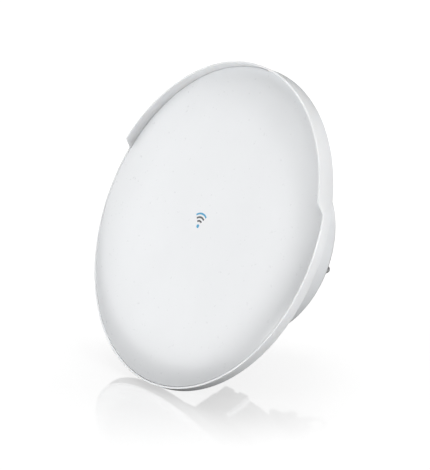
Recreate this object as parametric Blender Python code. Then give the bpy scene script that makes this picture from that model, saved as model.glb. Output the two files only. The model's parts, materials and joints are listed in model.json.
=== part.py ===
"""Dish-type outdoor wireless bridge on its pole bracket, with the dish aimed 25 degrees above level.

World origin: the centre of the pole bracket's rear face, which faces the pole. +Z is up, +Y points at
the pole and the dish looks towards -Y. The head is modelled about its elevation pivot, with +Y running
back along the dish axis, and hangs on the head_tilt empty. A depth is measured back from the rim's lip.
"""

import math

import bmesh
import bpy
from mathutils import Vector

MM = 0.001
GAP = 0.3 * MM

# The whole product
TILT_UP = math.radians(25)
PIVOT_TO_LIP = 156.4 * MM
PIVOT_TO_POLE_FACE = 18 * MM
LARGE_SEGMENTS = 48
HUB_SEGMENTS = 40
SMALL_SEGMENTS = 20
SCREW_SEGMENTS = 10

# Rim shroud and its hood
RIM_RADIUS = 230 * MM
RIM_WALL = 2.9 * MM
RIM_DEPTH = 14.6 * MM
RIM_FLANGE_RADIUS = 215.4 * MM
RIM_FLANGE_THICKNESS = 3.2 * MM
HOOD_HEIGHT = 13.5 * MM
HOOD_FLARE = 1.6 * MM
HOOD_FOOT_ANGLE = math.radians(73.7)
HOOD_RAMP_ANGLE = math.radians(3.6)
RIM_SCREW_RADIUS = 219.5 * MM
RIM_SCREW_COUNT = 6

# Radome
RADOME_RADIUS = 226.7 * MM
RADOME_WALL = 2.0 * MM
RADOME_RISE = 12.5 * MM
RADOME_EDGE_DEPTH = 0.8 * MM
RADOME_POWER = 7
SKIRT_WALL = 3.0 * MM
GASKET_HEIGHT = 1.4 * MM

# Reflector: a ring-focus paraboloid, flat inside FLAT_RADIUS
REFLECTOR_SHEET = 1.5 * MM
BOWL_RADIUS = 214 * MM
FLANGE_DEPTH = 9.6 * MM
FOCAL_LENGTH = 100 * MM
FOCUS_RING_RADIUS = 25 * MM
FLAT_RADIUS = 48 * MM

# Feed
FEED_RADIUS = 20 * MM
FEED_WALL = 2.5 * MM
SUB_REFLECTOR_RADIUS = 32 * MM

# Rear hub and its cable bay
HUB_RADIUS = 126.8 * MM
HUB_FRONT_RADIUS = 130 * MM
HUB_FRONT_DEPTH = 77.5 * MM
HUB_BACK_DEPTH = 129.4 * MM
HUB_WALL = 3.0 * MM
HUB_EDGE_ROUNDING = 8 * MM
BOSS_PLACE = (18 * MM, 35.7 * MM)
BAY_HALF_WIDTH = 27 * MM
BAY_FRONT_DEPTH = 88 * MM
BAY_BACK_DEPTH = 125 * MM
BAY_BOTTOM = 131.5 * MM
BAY_WALL = 2.5 * MM
BAY_CEILING = 126.5 * MM
JACK_MOUTH = 122.6 * MM
DOOR_THICKNESS = 2.2 * MM
DOOR_PIN_RADIUS = 1.2 * MM

# Elevation joint
PIVOT_BOLT_RADIUS = 3.0 * MM
LOCK_BOLT_RADIUS = 2.5 * MM
LOCK_ARC_RADIUS = 19 * MM
TILT_EAR_INSIDE = 40.5 * MM
TILT_EAR_SHEET = 2.5 * MM
YOKE_SHEET = 3.0 * MM
YOKE_HALF_HEIGHT = 47 * MM
TILT_PLATE_HALF_HEIGHT = 42 * MM
TILT_RANGE = math.radians(25)

# Pole clamp
SADDLE_LENGTH = 19 * MM
SADDLE_APEX = 3 * MM
SADDLE_TEETH = 4
U_BOLT_WIRE = 2.5 * MM
U_BOLT_BEND = 25.5 * MM
U_BOLT_CENTRE = 26.6 * MM
U_BOLT_HEIGHT = 30.5 * MM
U_BOLT_TIP = -16 * MM
U_BOLT_NUT_FLATS = 8 * MM
U_BOLT_NUT_HEIGHT = 4 * MM

WHITE_PLASTIC = ((0.87, 0.88, 0.89), 0.0, 0.38)
GREY_PLASTIC = ((0.55, 0.56, 0.57), 0.0, 0.5)
DARK_RUBBER = ((0.05, 0.05, 0.055), 0.0, 0.8)
ALUMINIUM = ((0.78, 0.79, 0.8), 1.0, 0.35)
PAINTED_ALUMINIUM = ((0.84, 0.85, 0.86), 0.1, 0.45)
ZINC_STEEL = ((0.62, 0.63, 0.65), 1.0, 0.4)
WHITE_PAINT = ((0.84, 0.85, 0.86), 0.1, 0.45)
CIRCUIT_BOARD = ((0.03, 0.22, 0.1), 0.0, 0.5)
TINNED_METAL = ((0.72, 0.72, 0.7), 1.0, 0.3)
CLEAR_PLASTIC = ((0.85, 0.93, 0.95), 0.0, 0.12)
DARK_PLASTIC = ((0.06, 0.06, 0.07), 0.0, 0.45)


# ---------------------------------------------------------------- helpers


def clear_scene():
    for obj in list(bpy.data.objects):
        bpy.data.objects.remove(obj)


def material(name, look):
    colour, metallic, roughness = look
    made = bpy.data.materials.new(name)
    made.use_nodes = True
    shader = made.node_tree.nodes["Principled BSDF"]
    shader.inputs["Base Color"].default_value = (*colour, 1.0)
    shader.inputs["Metallic"].default_value = metallic
    shader.inputs["Roughness"].default_value = roughness
    return made


def add_empty(name, parent, location):
    empty = bpy.data.objects.new(name, None)
    bpy.context.scene.collection.objects.link(empty)
    empty.parent = parent
    empty.location = location
    return empty


def add_mesh(name, shape, look, parent, origin=(0, 0, 0)):
    """Turns a bmesh drawn in its parent's frame into an object whose origin is at the given point."""
    bmesh.ops.recalc_face_normals(shape, faces=shape.faces)
    bmesh.ops.translate(shape, verts=shape.verts, vec=-Vector(origin))
    mesh = bpy.data.meshes.new(name)
    shape.to_mesh(mesh)
    shape.free()
    mesh.materials.append(material(name, look))
    mesh.shade_smooth()
    mesh.set_sharp_from_angle(angle=math.radians(35))
    obj = bpy.data.objects.new(name, mesh)
    bpy.context.scene.collection.objects.link(obj)
    obj.parent = parent
    obj.location = origin
    return obj


def combine(obj, operation, shape):
    """Adds a Boolean modifier whose operand is drawn in the same parent's frame and never renders."""
    label = f"{obj.name}_{operation.lower()}_{len(obj.modifiers)}"
    operand = add_mesh(label, shape, GREY_PLASTIC, obj.parent)
    operand.hide_render = True
    operand.display_type = "WIRE"
    modifier = obj.modifiers.new(label, "BOOLEAN")
    modifier.operation = operation
    modifier.solver = "EXACT"
    modifier.object = operand


def join_rings(shape, first, second):
    """Faces between two rings of vertices, either of which may be a single vertex; two single ones need none."""
    count = max(len(first), len(second))
    if count == 1:
        return
    for i in range(count):
        j = (i + 1) % count
        corners = [first[i % len(first)], first[j % len(first)], second[j % len(second)], second[i % len(second)]]
        shape.faces.new(list(dict.fromkeys(corners)))


def loft(rings, looped=False):
    """A closed skin through rings of points; an unlooped one has flat ends."""
    shape = bmesh.new()
    made = [[shape.verts.new(point) for point in points] for points in rings]
    for first, second in zip(made, made[1:]):
        join_rings(shape, first, second)
    if looped:
        join_rings(shape, made[-1], made[0])
    else:
        for end in (made[0], made[-1]):
            if len(end) > 2:
                shape.faces.new(end)
    return shape


def revolve(profile, segments=LARGE_SEGMENTS, centre=(0, 0)):
    """Turns (radius, y) points about the Y direction through centre (x, z); a zero radius closes on the axis."""
    rings = []
    for radius, y in profile:
        turns = range(segments if radius > 0 else 1)
        angles = [2 * math.pi * i / segments for i in turns]
        rings.append([(centre[0] + radius * math.sin(a), y, centre[1] + radius * math.cos(a)) for a in angles])
    return loft(rings, looped=profile[0][0] > 0)


def on_axis(axis, across, along):
    """A point with two coordinates across the named axis, in X, Y, Z order, and one along it."""
    point = list(across)
    point.insert("XYZ".index(axis), along)
    return point


def prism(outline, axis, low, high):
    return loft([[on_axis(axis, p, low) for p in outline], [on_axis(axis, p, high) for p in outline]])


def rod(axis, centre, radius, low, high, segments=SMALL_SEGMENTS):
    return prism(arc(*centre, radius, 0, 2 * math.pi, segments), axis, low, high)


def arc(centre_a, centre_b, radius, start, end, steps):
    """Points of an arc; a whole turn leaves its last point out, and angles start at the second coordinate."""
    whole = abs(abs(end - start) - 2 * math.pi) < 1e-9
    count = steps if whole else steps + 1
    angles = [start + (end - start) * i / steps for i in range(count)]
    return [(centre_a + radius * math.sin(a), centre_b + radius * math.cos(a)) for a in angles]


def box(low, high):
    return prism([(low[0], low[1]), (high[0], low[1]), (high[0], high[1]), (low[0], high[1])], "Z", low[2], high[2])


def merged(shapes):
    """Several separate closed shapes as one mesh, for one Boolean operand."""
    total = bmesh.new()
    for shape in shapes:
        mesh = bpy.data.meshes.new("merging")
        shape.to_mesh(mesh)
        shape.free()
        total.from_mesh(mesh)
        bpy.data.meshes.remove(mesh)
    return total


def lip(depth):
    """The head's y coordinate at a depth behind the rim's lip."""
    return depth - PIVOT_TO_LIP


def at_depth(profile):
    return [(radius, lip(depth)) for radius, depth in profile]


def around(count, radius, first=0.0):
    """Evenly spaced (x, z) places on a circle about the dish axis."""
    return arc(0, 0, radius, first, first + 2 * math.pi, count)


def four_corners(place):
    return [(sx * place[0], sz * place[1]) for sx in (-1, 1) for sz in (-1, 1)]


def pan_screw(name, place, seat, direction, shank, reach, parent):
    """A pan-head screw along Y: its head stands on seat, and the shank runs the other way from direction."""
    head = 1.9 * shank
    height = 1.3 * shank
    profile = [
        (0, seat + direction * height),
        (0.55 * head, seat + direction * height),
        (0.9 * head, seat + direction * 0.7 * height),
        (head, seat + direction * 0.25 * height),
        (head, seat),
        (shank, seat),
        (shank, seat - direction * reach),
        (0, seat - direction * reach),
    ]
    shape = revolve(profile, SCREW_SEGMENTS, place)
    return add_mesh(name, shape, ZINC_STEEL, parent, (place[0], seat, place[1]))


def hexagon(centre, across_flats, axis, along, first=0.0):
    radius = across_flats / math.sqrt(3)
    points = []
    for i in range(12):
        reach = radius if i % 2 == 0 else across_flats / 2
        angle = first + math.pi * i / 6
        points.append((centre[0] + reach * math.sin(angle), centre[1] + reach * math.cos(angle)))
    return [on_axis(axis, p, along) for p in points]


def circle12(centre, radius, axis, along, first=0.0):
    return [on_axis(axis, p, along) for p in arc(*centre, radius, first, first + 2 * math.pi, 12)]


def hex_bolt(name, axis, centre, shank, across_flats, head_low, head_high, end, parent):
    """A hex bolt whose head spans head_low to head_high, with its shank going on to end."""
    rings = [
        hexagon(centre, across_flats, axis, head_low),
        hexagon(centre, across_flats, axis, head_high),
        circle12(centre, shank, axis, head_high),
        circle12(centre, shank, axis, end),
    ]
    return add_mesh(name, loft(rings), ZINC_STEEL, parent, on_axis(axis, centre, head_high))


def hex_nut(name, axis, centre, shank, across_flats, low, high, parent, first=0.0):
    bore = shank + GAP
    rings = [
        hexagon(centre, across_flats, axis, low, first),
        hexagon(centre, across_flats, axis, high, first),
        circle12(centre, bore, axis, high, first),
        circle12(centre, bore, axis, low, first),
    ]
    return add_mesh(name, loft(rings, looped=True), ZINC_STEEL, parent, on_axis(axis, centre, low))


# ---------------------------------------------------------------- dish


def radome_depth(radius):
    """Depth of the radome's outer face: flat in the middle, rolling off towards its edge."""
    return RADOME_EDGE_DEPTH - RADOME_RISE * (1 - (radius / RADOME_RADIUS) ** RADOME_POWER)


def bowl_depth(radius):
    """Depth of the reflector's front face."""
    beyond = max(radius, FLAT_RADIUS) - FOCUS_RING_RADIUS
    edge = BOWL_RADIUS - FOCUS_RING_RADIUS
    return FLANGE_DEPTH + (edge**2 - beyond**2) / (4 * FOCAL_LENGTH)


def bowl_back(radius):
    """A point (radius, depth) on the reflector's rear face, one sheet thickness behind the front face."""
    slope = (radius - FOCUS_RING_RADIUS) / (2 * FOCAL_LENGTH)
    scale = REFLECTOR_SHEET / math.hypot(1, slope)
    return (radius + slope * scale, bowl_depth(radius) + scale)


def radome_cover(head):
    outer = [RADOME_RADIUS * share for share in (0, 0.5, 0.68, 0.8, 0.88, 0.94, 0.975, 1)]
    inner = [RADOME_RADIUS * share for share in (0.96, 0.91, 0.84, 0.72, 0.5, 0)]
    skirt_inside = RADOME_RADIUS - SKIRT_WALL
    skirt_end = FLANGE_DEPTH - GASKET_HEIGHT - 2 * GAP
    profile = [(r, radome_depth(r)) for r in outer]
    profile += [(RADOME_RADIUS, skirt_end), (skirt_inside, skirt_end), (skirt_inside, 3.2 * MM)]
    profile += [(r, radome_depth(r) + RADOME_WALL) for r in inner]
    cover = add_mesh("radome_cover", revolve(at_depth(profile)), WHITE_PLASTIC, head)
    places = around(RIM_SCREW_COUNT, RIM_SCREW_RADIUS, math.radians(30))
    boss_end = FLANGE_DEPTH - GAP
    bosses = [rod("Y", p, 3.4 * MM, lip(-0.2 * MM), lip(boss_end), SCREW_SEGMENTS) for p in places]
    combine(cover, "UNION", merged(bosses))
    pilots = [rod("Y", p, 1.8 * MM, lip(3 * MM), lip(boss_end + MM), SCREW_SEGMENTS) for p in places]
    combine(cover, "DIFFERENCE", merged(pilots))


def radome_gasket(head):
    inside = RADOME_RADIUS - SKIRT_WALL + 0.2 * MM
    outside = RADOME_RADIUS - 0.2 * MM
    back = FLANGE_DEPTH - GAP
    front = back - GASKET_HEIGHT
    profile = [(inside, front), (outside, front), (outside, back), (inside, back)]
    add_mesh("radome_gasket", revolve(at_depth(profile)), DARK_RUBBER, head)


def hood_reach(angle):
    """How far the shroud's front edge stands in front of the lip plane at an angle from the dish's top."""
    share = (HOOD_FOOT_ANGLE - abs(angle)) / HOOD_RAMP_ANGLE
    share = min(1, max(0, share))
    return HOOD_HEIGHT * share * share * (3 - 2 * share)


def shroud_angles():
    """Stations round the shroud: even ones, and close ones on the hood's two ramps."""
    step = 2 * math.pi / LARGE_SEGMENTS
    even = [step * i - math.pi for i in range(LARGE_SEGMENTS)]
    start = HOOD_FOOT_ANGLE - HOOD_RAMP_ANGLE
    ramp = [start + HOOD_RAMP_ANGLE * i / 4 for i in range(5)]
    clear = [a for a in even if not start - step / 3 < abs(a) < HOOD_FOOT_ANGLE + step / 3]
    return sorted(clear + ramp + [-a for a in ramp])


def shroud_section(angle):
    front = -hood_reach(angle)
    flare = HOOD_FLARE * abs(math.sin(angle)) * -front / HOOD_HEIGHT
    inside = RIM_RADIUS - RIM_WALL
    flange_front = RIM_DEPTH - RIM_FLANGE_THICKNESS
    round_lip = RIM_WALL / 3
    profile = [
        (inside + flare, front + round_lip),
        (inside + flare + round_lip, front),
        (RIM_RADIUS + flare - round_lip, front),
        (RIM_RADIUS + flare, front + round_lip),
        (RIM_RADIUS, RIM_DEPTH - 1.2 * MM),
        (RIM_RADIUS - 1.2 * MM, RIM_DEPTH),
        (RIM_FLANGE_RADIUS, RIM_DEPTH),
        (RIM_FLANGE_RADIUS, flange_front),
        (inside, flange_front),
    ]
    return [(r * math.sin(angle), lip(d), r * math.cos(angle)) for r, d in profile]


def shroud(head):
    sections = [shroud_section(angle) for angle in shroud_angles()]
    rim = add_mesh("shroud", loft(sections, looped=True), WHITE_PLASTIC, head)
    places = around(RIM_SCREW_COUNT, RIM_SCREW_RADIUS, math.radians(30))
    holes = [rod("Y", p, 1.9 * MM, lip(10 * MM), lip(16 * MM), SCREW_SEGMENTS) for p in places]
    combine(rim, "DIFFERENCE", merged(holes))


def rim_screws(head):
    seat = lip(RIM_DEPTH + GAP)
    for number, place in enumerate(around(RIM_SCREW_COUNT, RIM_SCREW_RADIUS, math.radians(30)), 1):
        pan_screw(f"rim_screw_{number}", place, seat, 1, 1.5 * MM, 10.9 * MM, head)


def reflector(head):
    flange_radius = RADOME_RADIUS - 0.1 * MM
    steps = 6
    radii = [FLAT_RADIUS + (BOWL_RADIUS - FLAT_RADIUS) * i / steps for i in range(steps + 1)]
    hole = FEED_RADIUS + GAP
    front = [(hole, bowl_depth(0))] + [(r, bowl_depth(r)) for r in radii]
    back = [bowl_back(r) for r in radii[1:-1]]
    flange_back = FLANGE_DEPTH + REFLECTOR_SHEET
    profile = front + [(flange_radius, FLANGE_DEPTH), (flange_radius, flange_back)]
    profile += [(BOWL_RADIUS + 0.6 * MM, flange_back)] + back[::-1]
    profile += [(FLAT_RADIUS, bowl_depth(0) + REFLECTOR_SHEET), (hole, bowl_depth(0) + REFLECTOR_SHEET)]
    dish = add_mesh("reflector", revolve(at_depth(profile)), PAINTED_ALUMINIUM, head)
    rim = around(RIM_SCREW_COUNT, RIM_SCREW_RADIUS, math.radians(30))
    holes = [rod("Y", p, 1.9 * MM, lip(8 * MM), lip(12 * MM), SCREW_SEGMENTS) for p in rim]
    holes += [rod("Y", p, 2.4 * MM, lip(94 * MM), lip(103 * MM), SCREW_SEGMENTS) for p in four_corners(BOSS_PLACE)]
    combine(dish, "DIFFERENCE", merged(holes))


# ---------------------------------------------------------------- feed


def feed_tube(head):
    seat = bowl_depth(0) - GAP
    inside = FEED_RADIUS - FEED_WALL
    profile = [
        (inside, 6 * MM),
        (FEED_RADIUS, 6 * MM),
        (FEED_RADIUS, seat - 3 * MM),
        (FEED_RADIUS + 7 * MM, seat - 3 * MM),
        (FEED_RADIUS + 7 * MM, seat),
        (FEED_RADIUS, seat),
        (FEED_RADIUS, 105 * MM),
        (inside, 105 * MM),
    ]
    add_mesh("feed_tube", revolve(at_depth(profile), SMALL_SEGMENTS), WHITE_PLASTIC, head)


def feed_nut(head):
    front = bowl_depth(0) + REFLECTOR_SHEET + GAP
    hole = FEED_RADIUS + GAP
    profile = [(hole, front), (27 * MM, front), (27 * MM, front + 4 * MM), (hole, front + 4 * MM)]
    add_mesh("feed_nut", revolve(at_depth(profile), SMALL_SEGMENTS), GREY_PLASTIC, head)


def feed_board(head):
    board = box((-15 * MM, lip(10 * MM), -0.8 * MM), (15 * MM, lip(103 * MM), 0.8 * MM))
    add_mesh("feed_board", board, CIRCUIT_BOARD, head)


def feed_cap(head):
    """The dielectric plug that closes the feed tube and carries the sub-reflector."""
    spigot = FEED_RADIUS - FEED_WALL - GAP
    front = -1.5 * MM
    profile = [
        (0, front),
        (SUB_REFLECTOR_RADIUS - 1.5 * MM, front),
        (SUB_REFLECTOR_RADIUS - 1.5 * MM, front + 1.5 * MM),
        (FEED_RADIUS, 4.2 * MM),
        (spigot, 4.2 * MM),
        (spigot, 9.5 * MM),
        (0, 9.5 * MM),
    ]
    add_mesh("feed_cap", revolve(at_depth(profile), SMALL_SEGMENTS), CLEAR_PLASTIC, head)


def feed_o_ring(head):
    inside = FEED_RADIUS - FEED_WALL + 0.1 * MM
    outside = FEED_RADIUS - 0.2 * MM
    profile = [(inside, 4.5 * MM), (outside, 4.5 * MM), (outside, 5.7 * MM), (inside, 5.7 * MM)]
    add_mesh("feed_o_ring", revolve(at_depth(profile), SMALL_SEGMENTS), DARK_RUBBER, head)


def sub_reflector(head):
    profile = [
        (0, -4.4 * MM),
        (SUB_REFLECTOR_RADIUS, -3.2 * MM),
        (SUB_REFLECTOR_RADIUS, -1.8 * MM),
        (0, -1.8 * MM),
    ]
    add_mesh("sub_reflector", revolve(at_depth(profile), SMALL_SEGMENTS), ALUMINIUM, head)


# ---------------------------------------------------------------- electronics in the hub


def radio_board(head):
    front, back = lip(106.5 * MM), lip(108.1 * MM)
    outline = arc(0, 0, 82 * MM, math.radians(-166), math.radians(166), 26)
    outline += [(18 * MM, -116 * MM), (-18 * MM, -116 * MM)]
    board = add_mesh("radio_board", prism(outline, "Y", front, back), CIRCUIT_BOARD, head)
    holes = [rod("Y", p, 5.6 * MM, front - MM, back + MM, SCREW_SEGMENTS) for p in four_corners(BOSS_PLACE)]
    combine(board, "DIFFERENCE", merged(holes))


def shield_can(head):
    front, back = lip(108.4 * MM), lip(112.4 * MM)
    can = add_mesh("shield_can", box((-34 * MM, front, 44 * MM), (34 * MM, back, 70 * MM)), TINNED_METAL, head)
    hollow = box((-33 * MM, front - MM, 45 * MM), (33 * MM, back - MM, 69 * MM))
    combine(can, "DIFFERENCE", hollow)


def heat_spreader(head):
    front, back = lip(114 * MM), lip(117 * MM)
    plate = add_mesh("heat_spreader", box((-60 * MM, front, -62 * MM), (60 * MM, back, 76 * MM)), ALUMINIUM, head)
    holes = [rod("Y", p, 5.6 * MM, front - MM, back + MM, SCREW_SEGMENTS) for p in four_corners(BOSS_PLACE)]
    combine(plate, "DIFFERENCE", merged(holes))


def ethernet_jack(head):
    front, back = lip(108.4 * MM), lip(121.9 * MM)
    low, high = (-8 * MM, front, -JACK_MOUTH), (8 * MM, back, 21 * MM - JACK_MOUTH)
    jack = add_mesh("ethernet_jack", box(low, high), TINNED_METAL, head)
    past = -JACK_MOUTH - MM
    mouth = box((-6 * MM, front + 1.5 * MM, past), (6 * MM, back - 4 * MM, past + 16 * MM))
    latch = box((-3 * MM, back - 5 * MM, past), (3 * MM, back - 1.5 * MM, past + 14 * MM))
    combine(jack, "DIFFERENCE", mouth)
    combine(jack, "DIFFERENCE", latch)


def reset_switch(head):
    low, high = (11 * MM, lip(108.4 * MM), -112 * MM), (17 * MM, lip(114.4 * MM), -106 * MM)
    add_mesh("reset_switch", box(low, high), DARK_PLASTIC, head)


def reset_button(head):
    """A plunger through the drum's wall, with a collar inside; a press is shorter than its gap to the switch."""
    centre = button_place()
    levels = [(1.8, -114), (1.8, -121), (2.6, -121), (2.6, -122.6), (1.8, -122.6), (1.8, -129.6)]
    rings = [circle12(centre, radius * MM, "Z", z * MM) for radius, z in levels]
    add_mesh("reset_button", loft(rings), DARK_PLASTIC, head, (*centre, -129.6 * MM))


def button_place():
    """The (x, y) of the reset plunger, beside the jack."""
    return (14 * MM, lip(111.6 * MM))


def light_pipe(head):
    """Three clear pins on one bar, standing through the hub's rear wall."""
    bar = box((-16 * MM, lip(118 * MM), -86.5 * MM), (16 * MM, lip(121 * MM), -83.5 * MM))
    pipe = add_mesh("light_pipe", bar, CLEAR_PLASTIC, head)
    pins = [rod("Y", (x, -85 * MM), 1.2 * MM, lip(119.5 * MM), lip(HUB_BACK_DEPTH + 0.4 * MM), 8) for x in led_places()]
    combine(pipe, "UNION", merged(pins))


def led_places():
    return (-12 * MM, 0, 12 * MM)


# ---------------------------------------------------------------- rear hub


def hub_profile():
    """The drum's wall and rear end: drafted outside, rounded at the back edge, open at the front."""
    edge = HUB_EDGE_ROUNDING
    bend = arc(HUB_RADIUS - edge, HUB_BACK_DEPTH - edge, edge, math.radians(90), 0, 3)
    inner_end = HUB_BACK_DEPTH - HUB_WALL
    inner_radius = HUB_RADIUS - HUB_WALL
    profile = [(HUB_FRONT_RADIUS, HUB_FRONT_DEPTH)] + bend + [(0, HUB_BACK_DEPTH), (0, inner_end)]
    profile += [(inner_radius - edge / 2, inner_end), (inner_radius, inner_end - edge / 2)]
    profile += [(HUB_FRONT_RADIUS - HUB_WALL, HUB_FRONT_DEPTH)]
    return profile


def hub_housing(head):
    hub = add_mesh("hub_housing", revolve(at_depth(hub_profile()), HUB_SEGMENTS), WHITE_PLASTIC, head)
    front, back = lip(BAY_FRONT_DEPTH), lip(BAY_BACK_DEPTH)
    bottom = -BAY_BOTTOM
    combine(hub, "UNION", box((-BAY_HALF_WIDTH, front, bottom), (BAY_HALF_WIDTH, back, -124 * MM)))
    wall = BAY_WALL
    opening_low = (-BAY_HALF_WIDTH + wall, front + wall, bottom - MM)
    opening_high = (BAY_HALF_WIDTH - wall, back - wall, -BAY_CEILING)
    combine(hub, "DIFFERENCE", box(opening_low, opening_high))
    plug_low, plug_high = (-6.5 * MM, lip(109.4 * MM), bottom), (6.5 * MM, lip(120.8 * MM), -121 * MM)
    plunger = rod("Z", button_place(), 2.1 * MM, bottom, -121 * MM, 12)
    combine(hub, "DIFFERENCE", merged([box(plug_low, plug_high), plunger]))
    knuckles = [knuckle(side * 23.6 * MM, 3.2 * MM) for side in (-1, 1)]
    combine(hub, "UNION", merged(knuckles))
    boss_front = bowl_depth(0) + REFLECTOR_SHEET + GAP
    boss_back = HUB_BACK_DEPTH - HUB_WALL / 2
    places = four_corners(BOSS_PLACE)
    bosses = [rod("Y", p, 5 * MM, lip(boss_front), lip(boss_back), SCREW_SEGMENTS) for p in places]
    combine(hub, "UNION", merged(bosses))
    cuts = [rod("Y", p, 2.4 * MM, lip(98 * MM), lip(131 * MM), SCREW_SEGMENTS) for p in places]
    cuts += [rod("Y", (x, -85 * MM), 1.5 * MM, lip(124 * MM), lip(131 * MM), 8) for x in led_places()]
    cuts += [rod("Y", vent_place(), 5 * MM, lip(124 * MM), lip(131 * MM), 12)]
    cuts += [rod("Y", ground_place(), 2.4 * MM, lip(124 * MM), lip(131 * MM), SCREW_SEGMENTS)]
    cuts += [rod("X", hinge_line(), DOOR_PIN_RADIUS + GAP, -28 * MM, 28 * MM, 12)]
    combine(hub, "DIFFERENCE", merged(cuts))


def hinge_line():
    """The (y, z) of the port door's hinge, just in front of the bay."""
    return (lip(BAY_FRONT_DEPTH - 2.6 * MM), -BAY_BOTTOM - 2.2 * MM)


def knuckle(centre_x, half_width):
    """A hinge barrel with an arm up to the bay's front wall."""
    y, z = hinge_line()
    barrel = 2.6 * MM
    outline = arc(y, z, barrel, math.radians(90), math.radians(270), 6)
    outline += [(y - barrel, z + 6 * MM), (y + barrel + 0.8 * MM, z + 6 * MM)]
    return prism(outline, "X", centre_x - half_width, centre_x + half_width)


def vent_place():
    return (-62 * MM, -58 * MM)


def ground_place():
    return (62 * MM, -58 * MM)


def hub_gasket(head):
    inside, outside = HUB_FRONT_RADIUS - 2.8 * MM, HUB_FRONT_RADIUS - 0.2 * MM
    back = HUB_FRONT_DEPTH - GAP
    profile = [(inside, back - 2.2 * MM), (outside, back - 2.2 * MM), (outside, back), (inside, back)]
    add_mesh("hub_gasket", revolve(at_depth(profile), HUB_SEGMENTS), DARK_RUBBER, head)


def hub_screws(head):
    """Screws from inside the dish, through the reflector and into the hub's four posts."""
    seat = lip(bowl_depth(0) - GAP)
    for number, place in enumerate(four_corners(BOSS_PLACE), 1):
        pan_screw(f"hub_screw_{number}", place, seat, -1, 2.0 * MM, 12 * MM, head)


def vent_plug(head):
    seat = lip(HUB_BACK_DEPTH + GAP)
    profile = [
        (0, seat + 1.6 * MM),
        (5.5 * MM, seat + 1.6 * MM),
        (6.5 * MM, seat + 0.8 * MM),
        (6.5 * MM, seat),
        (4.6 * MM, seat),
        (4.6 * MM, seat - 5 * MM),
        (0, seat - 5 * MM),
    ]
    x, z = vent_place()
    add_mesh("vent_plug", revolve(profile, 14, (x, z)), GREY_PLASTIC, head, (x, seat, z))


def ground_terminal(head):
    x, z = ground_place()
    seat = lip(HUB_BACK_DEPTH + GAP)
    profile = [(2.4 * MM, seat), (6 * MM, seat), (6 * MM, seat + 1.2 * MM), (2.4 * MM, seat + 1.2 * MM)]
    add_mesh("ground_washer", revolve(profile, 14, (x, z)), ZINC_STEEL, head, (x, seat, z))
    pan_screw("ground_screw", (x, z), seat + 1.2 * MM + GAP, 1, 2.0 * MM, 9 * MM, head)


# ---------------------------------------------------------------- port door


def port_door(head):
    """The bay's cover, hinged at its dish-side edge, with a notch that is open to its far edge."""
    y, z = hinge_line()
    top = -BAY_BOTTOM - 1.4 * MM
    bottom = top - DOOR_THICKNESS
    far = lip(BAY_BACK_DEPTH) + MM
    near = y + 3.6 * MM
    low, high = (-BAY_HALF_WIDTH, near, bottom), (BAY_HALF_WIDTH, far, top)
    door = add_mesh("port_door", box(low, high), WHITE_PLASTIC, head, (0, y, z))
    barrel = 2.4 * MM
    outline = arc(y, z, barrel, math.radians(180), math.radians(360), 6)
    outline += [(y + barrel, z + 0.6 * MM), (near + 4 * MM, top - 0.3 * MM), (near + 4 * MM, bottom + 0.3 * MM)]
    combine(door, "UNION", prism(outline, "X", -20 * MM, 20 * MM))
    combine(door, "DIFFERENCE", rod("X", (y, z), DOOR_PIN_RADIUS + GAP, -28 * MM, 28 * MM, 12))
    centre = lip(cable_depth())
    notch = arc(0, centre, 6.3 * MM, math.radians(90), math.radians(270), 8)
    notch += [(-6.3 * MM, far + MM), (6.3 * MM, far + MM)]
    combine(door, "DIFFERENCE", prism(notch, "Z", bottom - MM, top + MM))


def cable_depth():
    """Depth of the cable's line, under the jack's mouth."""
    return 114 * MM


def cable_grommet(head):
    """A rubber ring in the door's notch, flanged above and below the door."""
    x, y = 0, lip(cable_depth())
    top = -BAY_BOTTOM - 1.4 * MM
    bottom = top - DOOR_THICKNESS
    levels = [
        (3.0 * MM, top + 1.1 * MM),
        (7.6 * MM, top + 1.1 * MM),
        (7.6 * MM, top + 0.3 * MM),
        (6.0 * MM, top + 0.3 * MM),
        (6.0 * MM, bottom - 0.3 * MM),
        (7.6 * MM, bottom - 0.3 * MM),
        (7.6 * MM, bottom - 1.5 * MM),
        (3.0 * MM, bottom - 1.5 * MM),
    ]
    rings = [[on_axis("Z", p, z) for p in arc(x, y, r, 0, 2 * math.pi, 16)] for r, z in levels]
    add_mesh("cable_grommet", loft(rings, looped=True), DARK_RUBBER, head)


def door_seal(head):
    """A flat rubber frame between the bay's edge and the door."""
    front, back = lip(BAY_FRONT_DEPTH) + 0.5 * MM, lip(BAY_BACK_DEPTH) - 0.5 * MM
    half = BAY_HALF_WIDTH - 0.5 * MM
    top = -BAY_BOTTOM - 0.3 * MM
    bottom = top - 0.8 * MM
    seal = add_mesh("door_seal", box((-half, front, bottom), (half, back, top)), DARK_RUBBER, head)
    rim = 1.6 * MM
    inner = box((-half + rim, front + rim, bottom - MM), (half - rim, back - rim, top + MM))
    combine(seal, "DIFFERENCE", inner)


def door_pin(head):
    y, z = hinge_line()
    add_mesh("door_pin", rod("X", (y, z), DOOR_PIN_RADIUS, -27 * MM, 27 * MM, 12), ZINC_STEEL, head, (0, y, z))


# ---------------------------------------------------------------- elevation bracket


def bent_channel(inside, sheet, front, back, web_at_back, half_height):
    """A sheet bent to a U in plan, standing along Z: two ears at +-inside and a web at one end."""
    outside = inside + sheet
    chamfer = sheet
    if web_at_back:
        ends, web, inner_web = front, back, back - sheet
        step = -chamfer
    else:
        ends, web, inner_web = back, front, front + sheet
        step = chamfer
    right = [(outside, ends), (outside, web + step), (outside - chamfer, web)]
    left = [(-x, y) for x, y in right[::-1]]
    inner = [(-inside, ends), (-inside, inner_web), (inside, inner_web), (inside, ends)]
    return prism(right + left + inner, "Z", -half_height, half_height)


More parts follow.
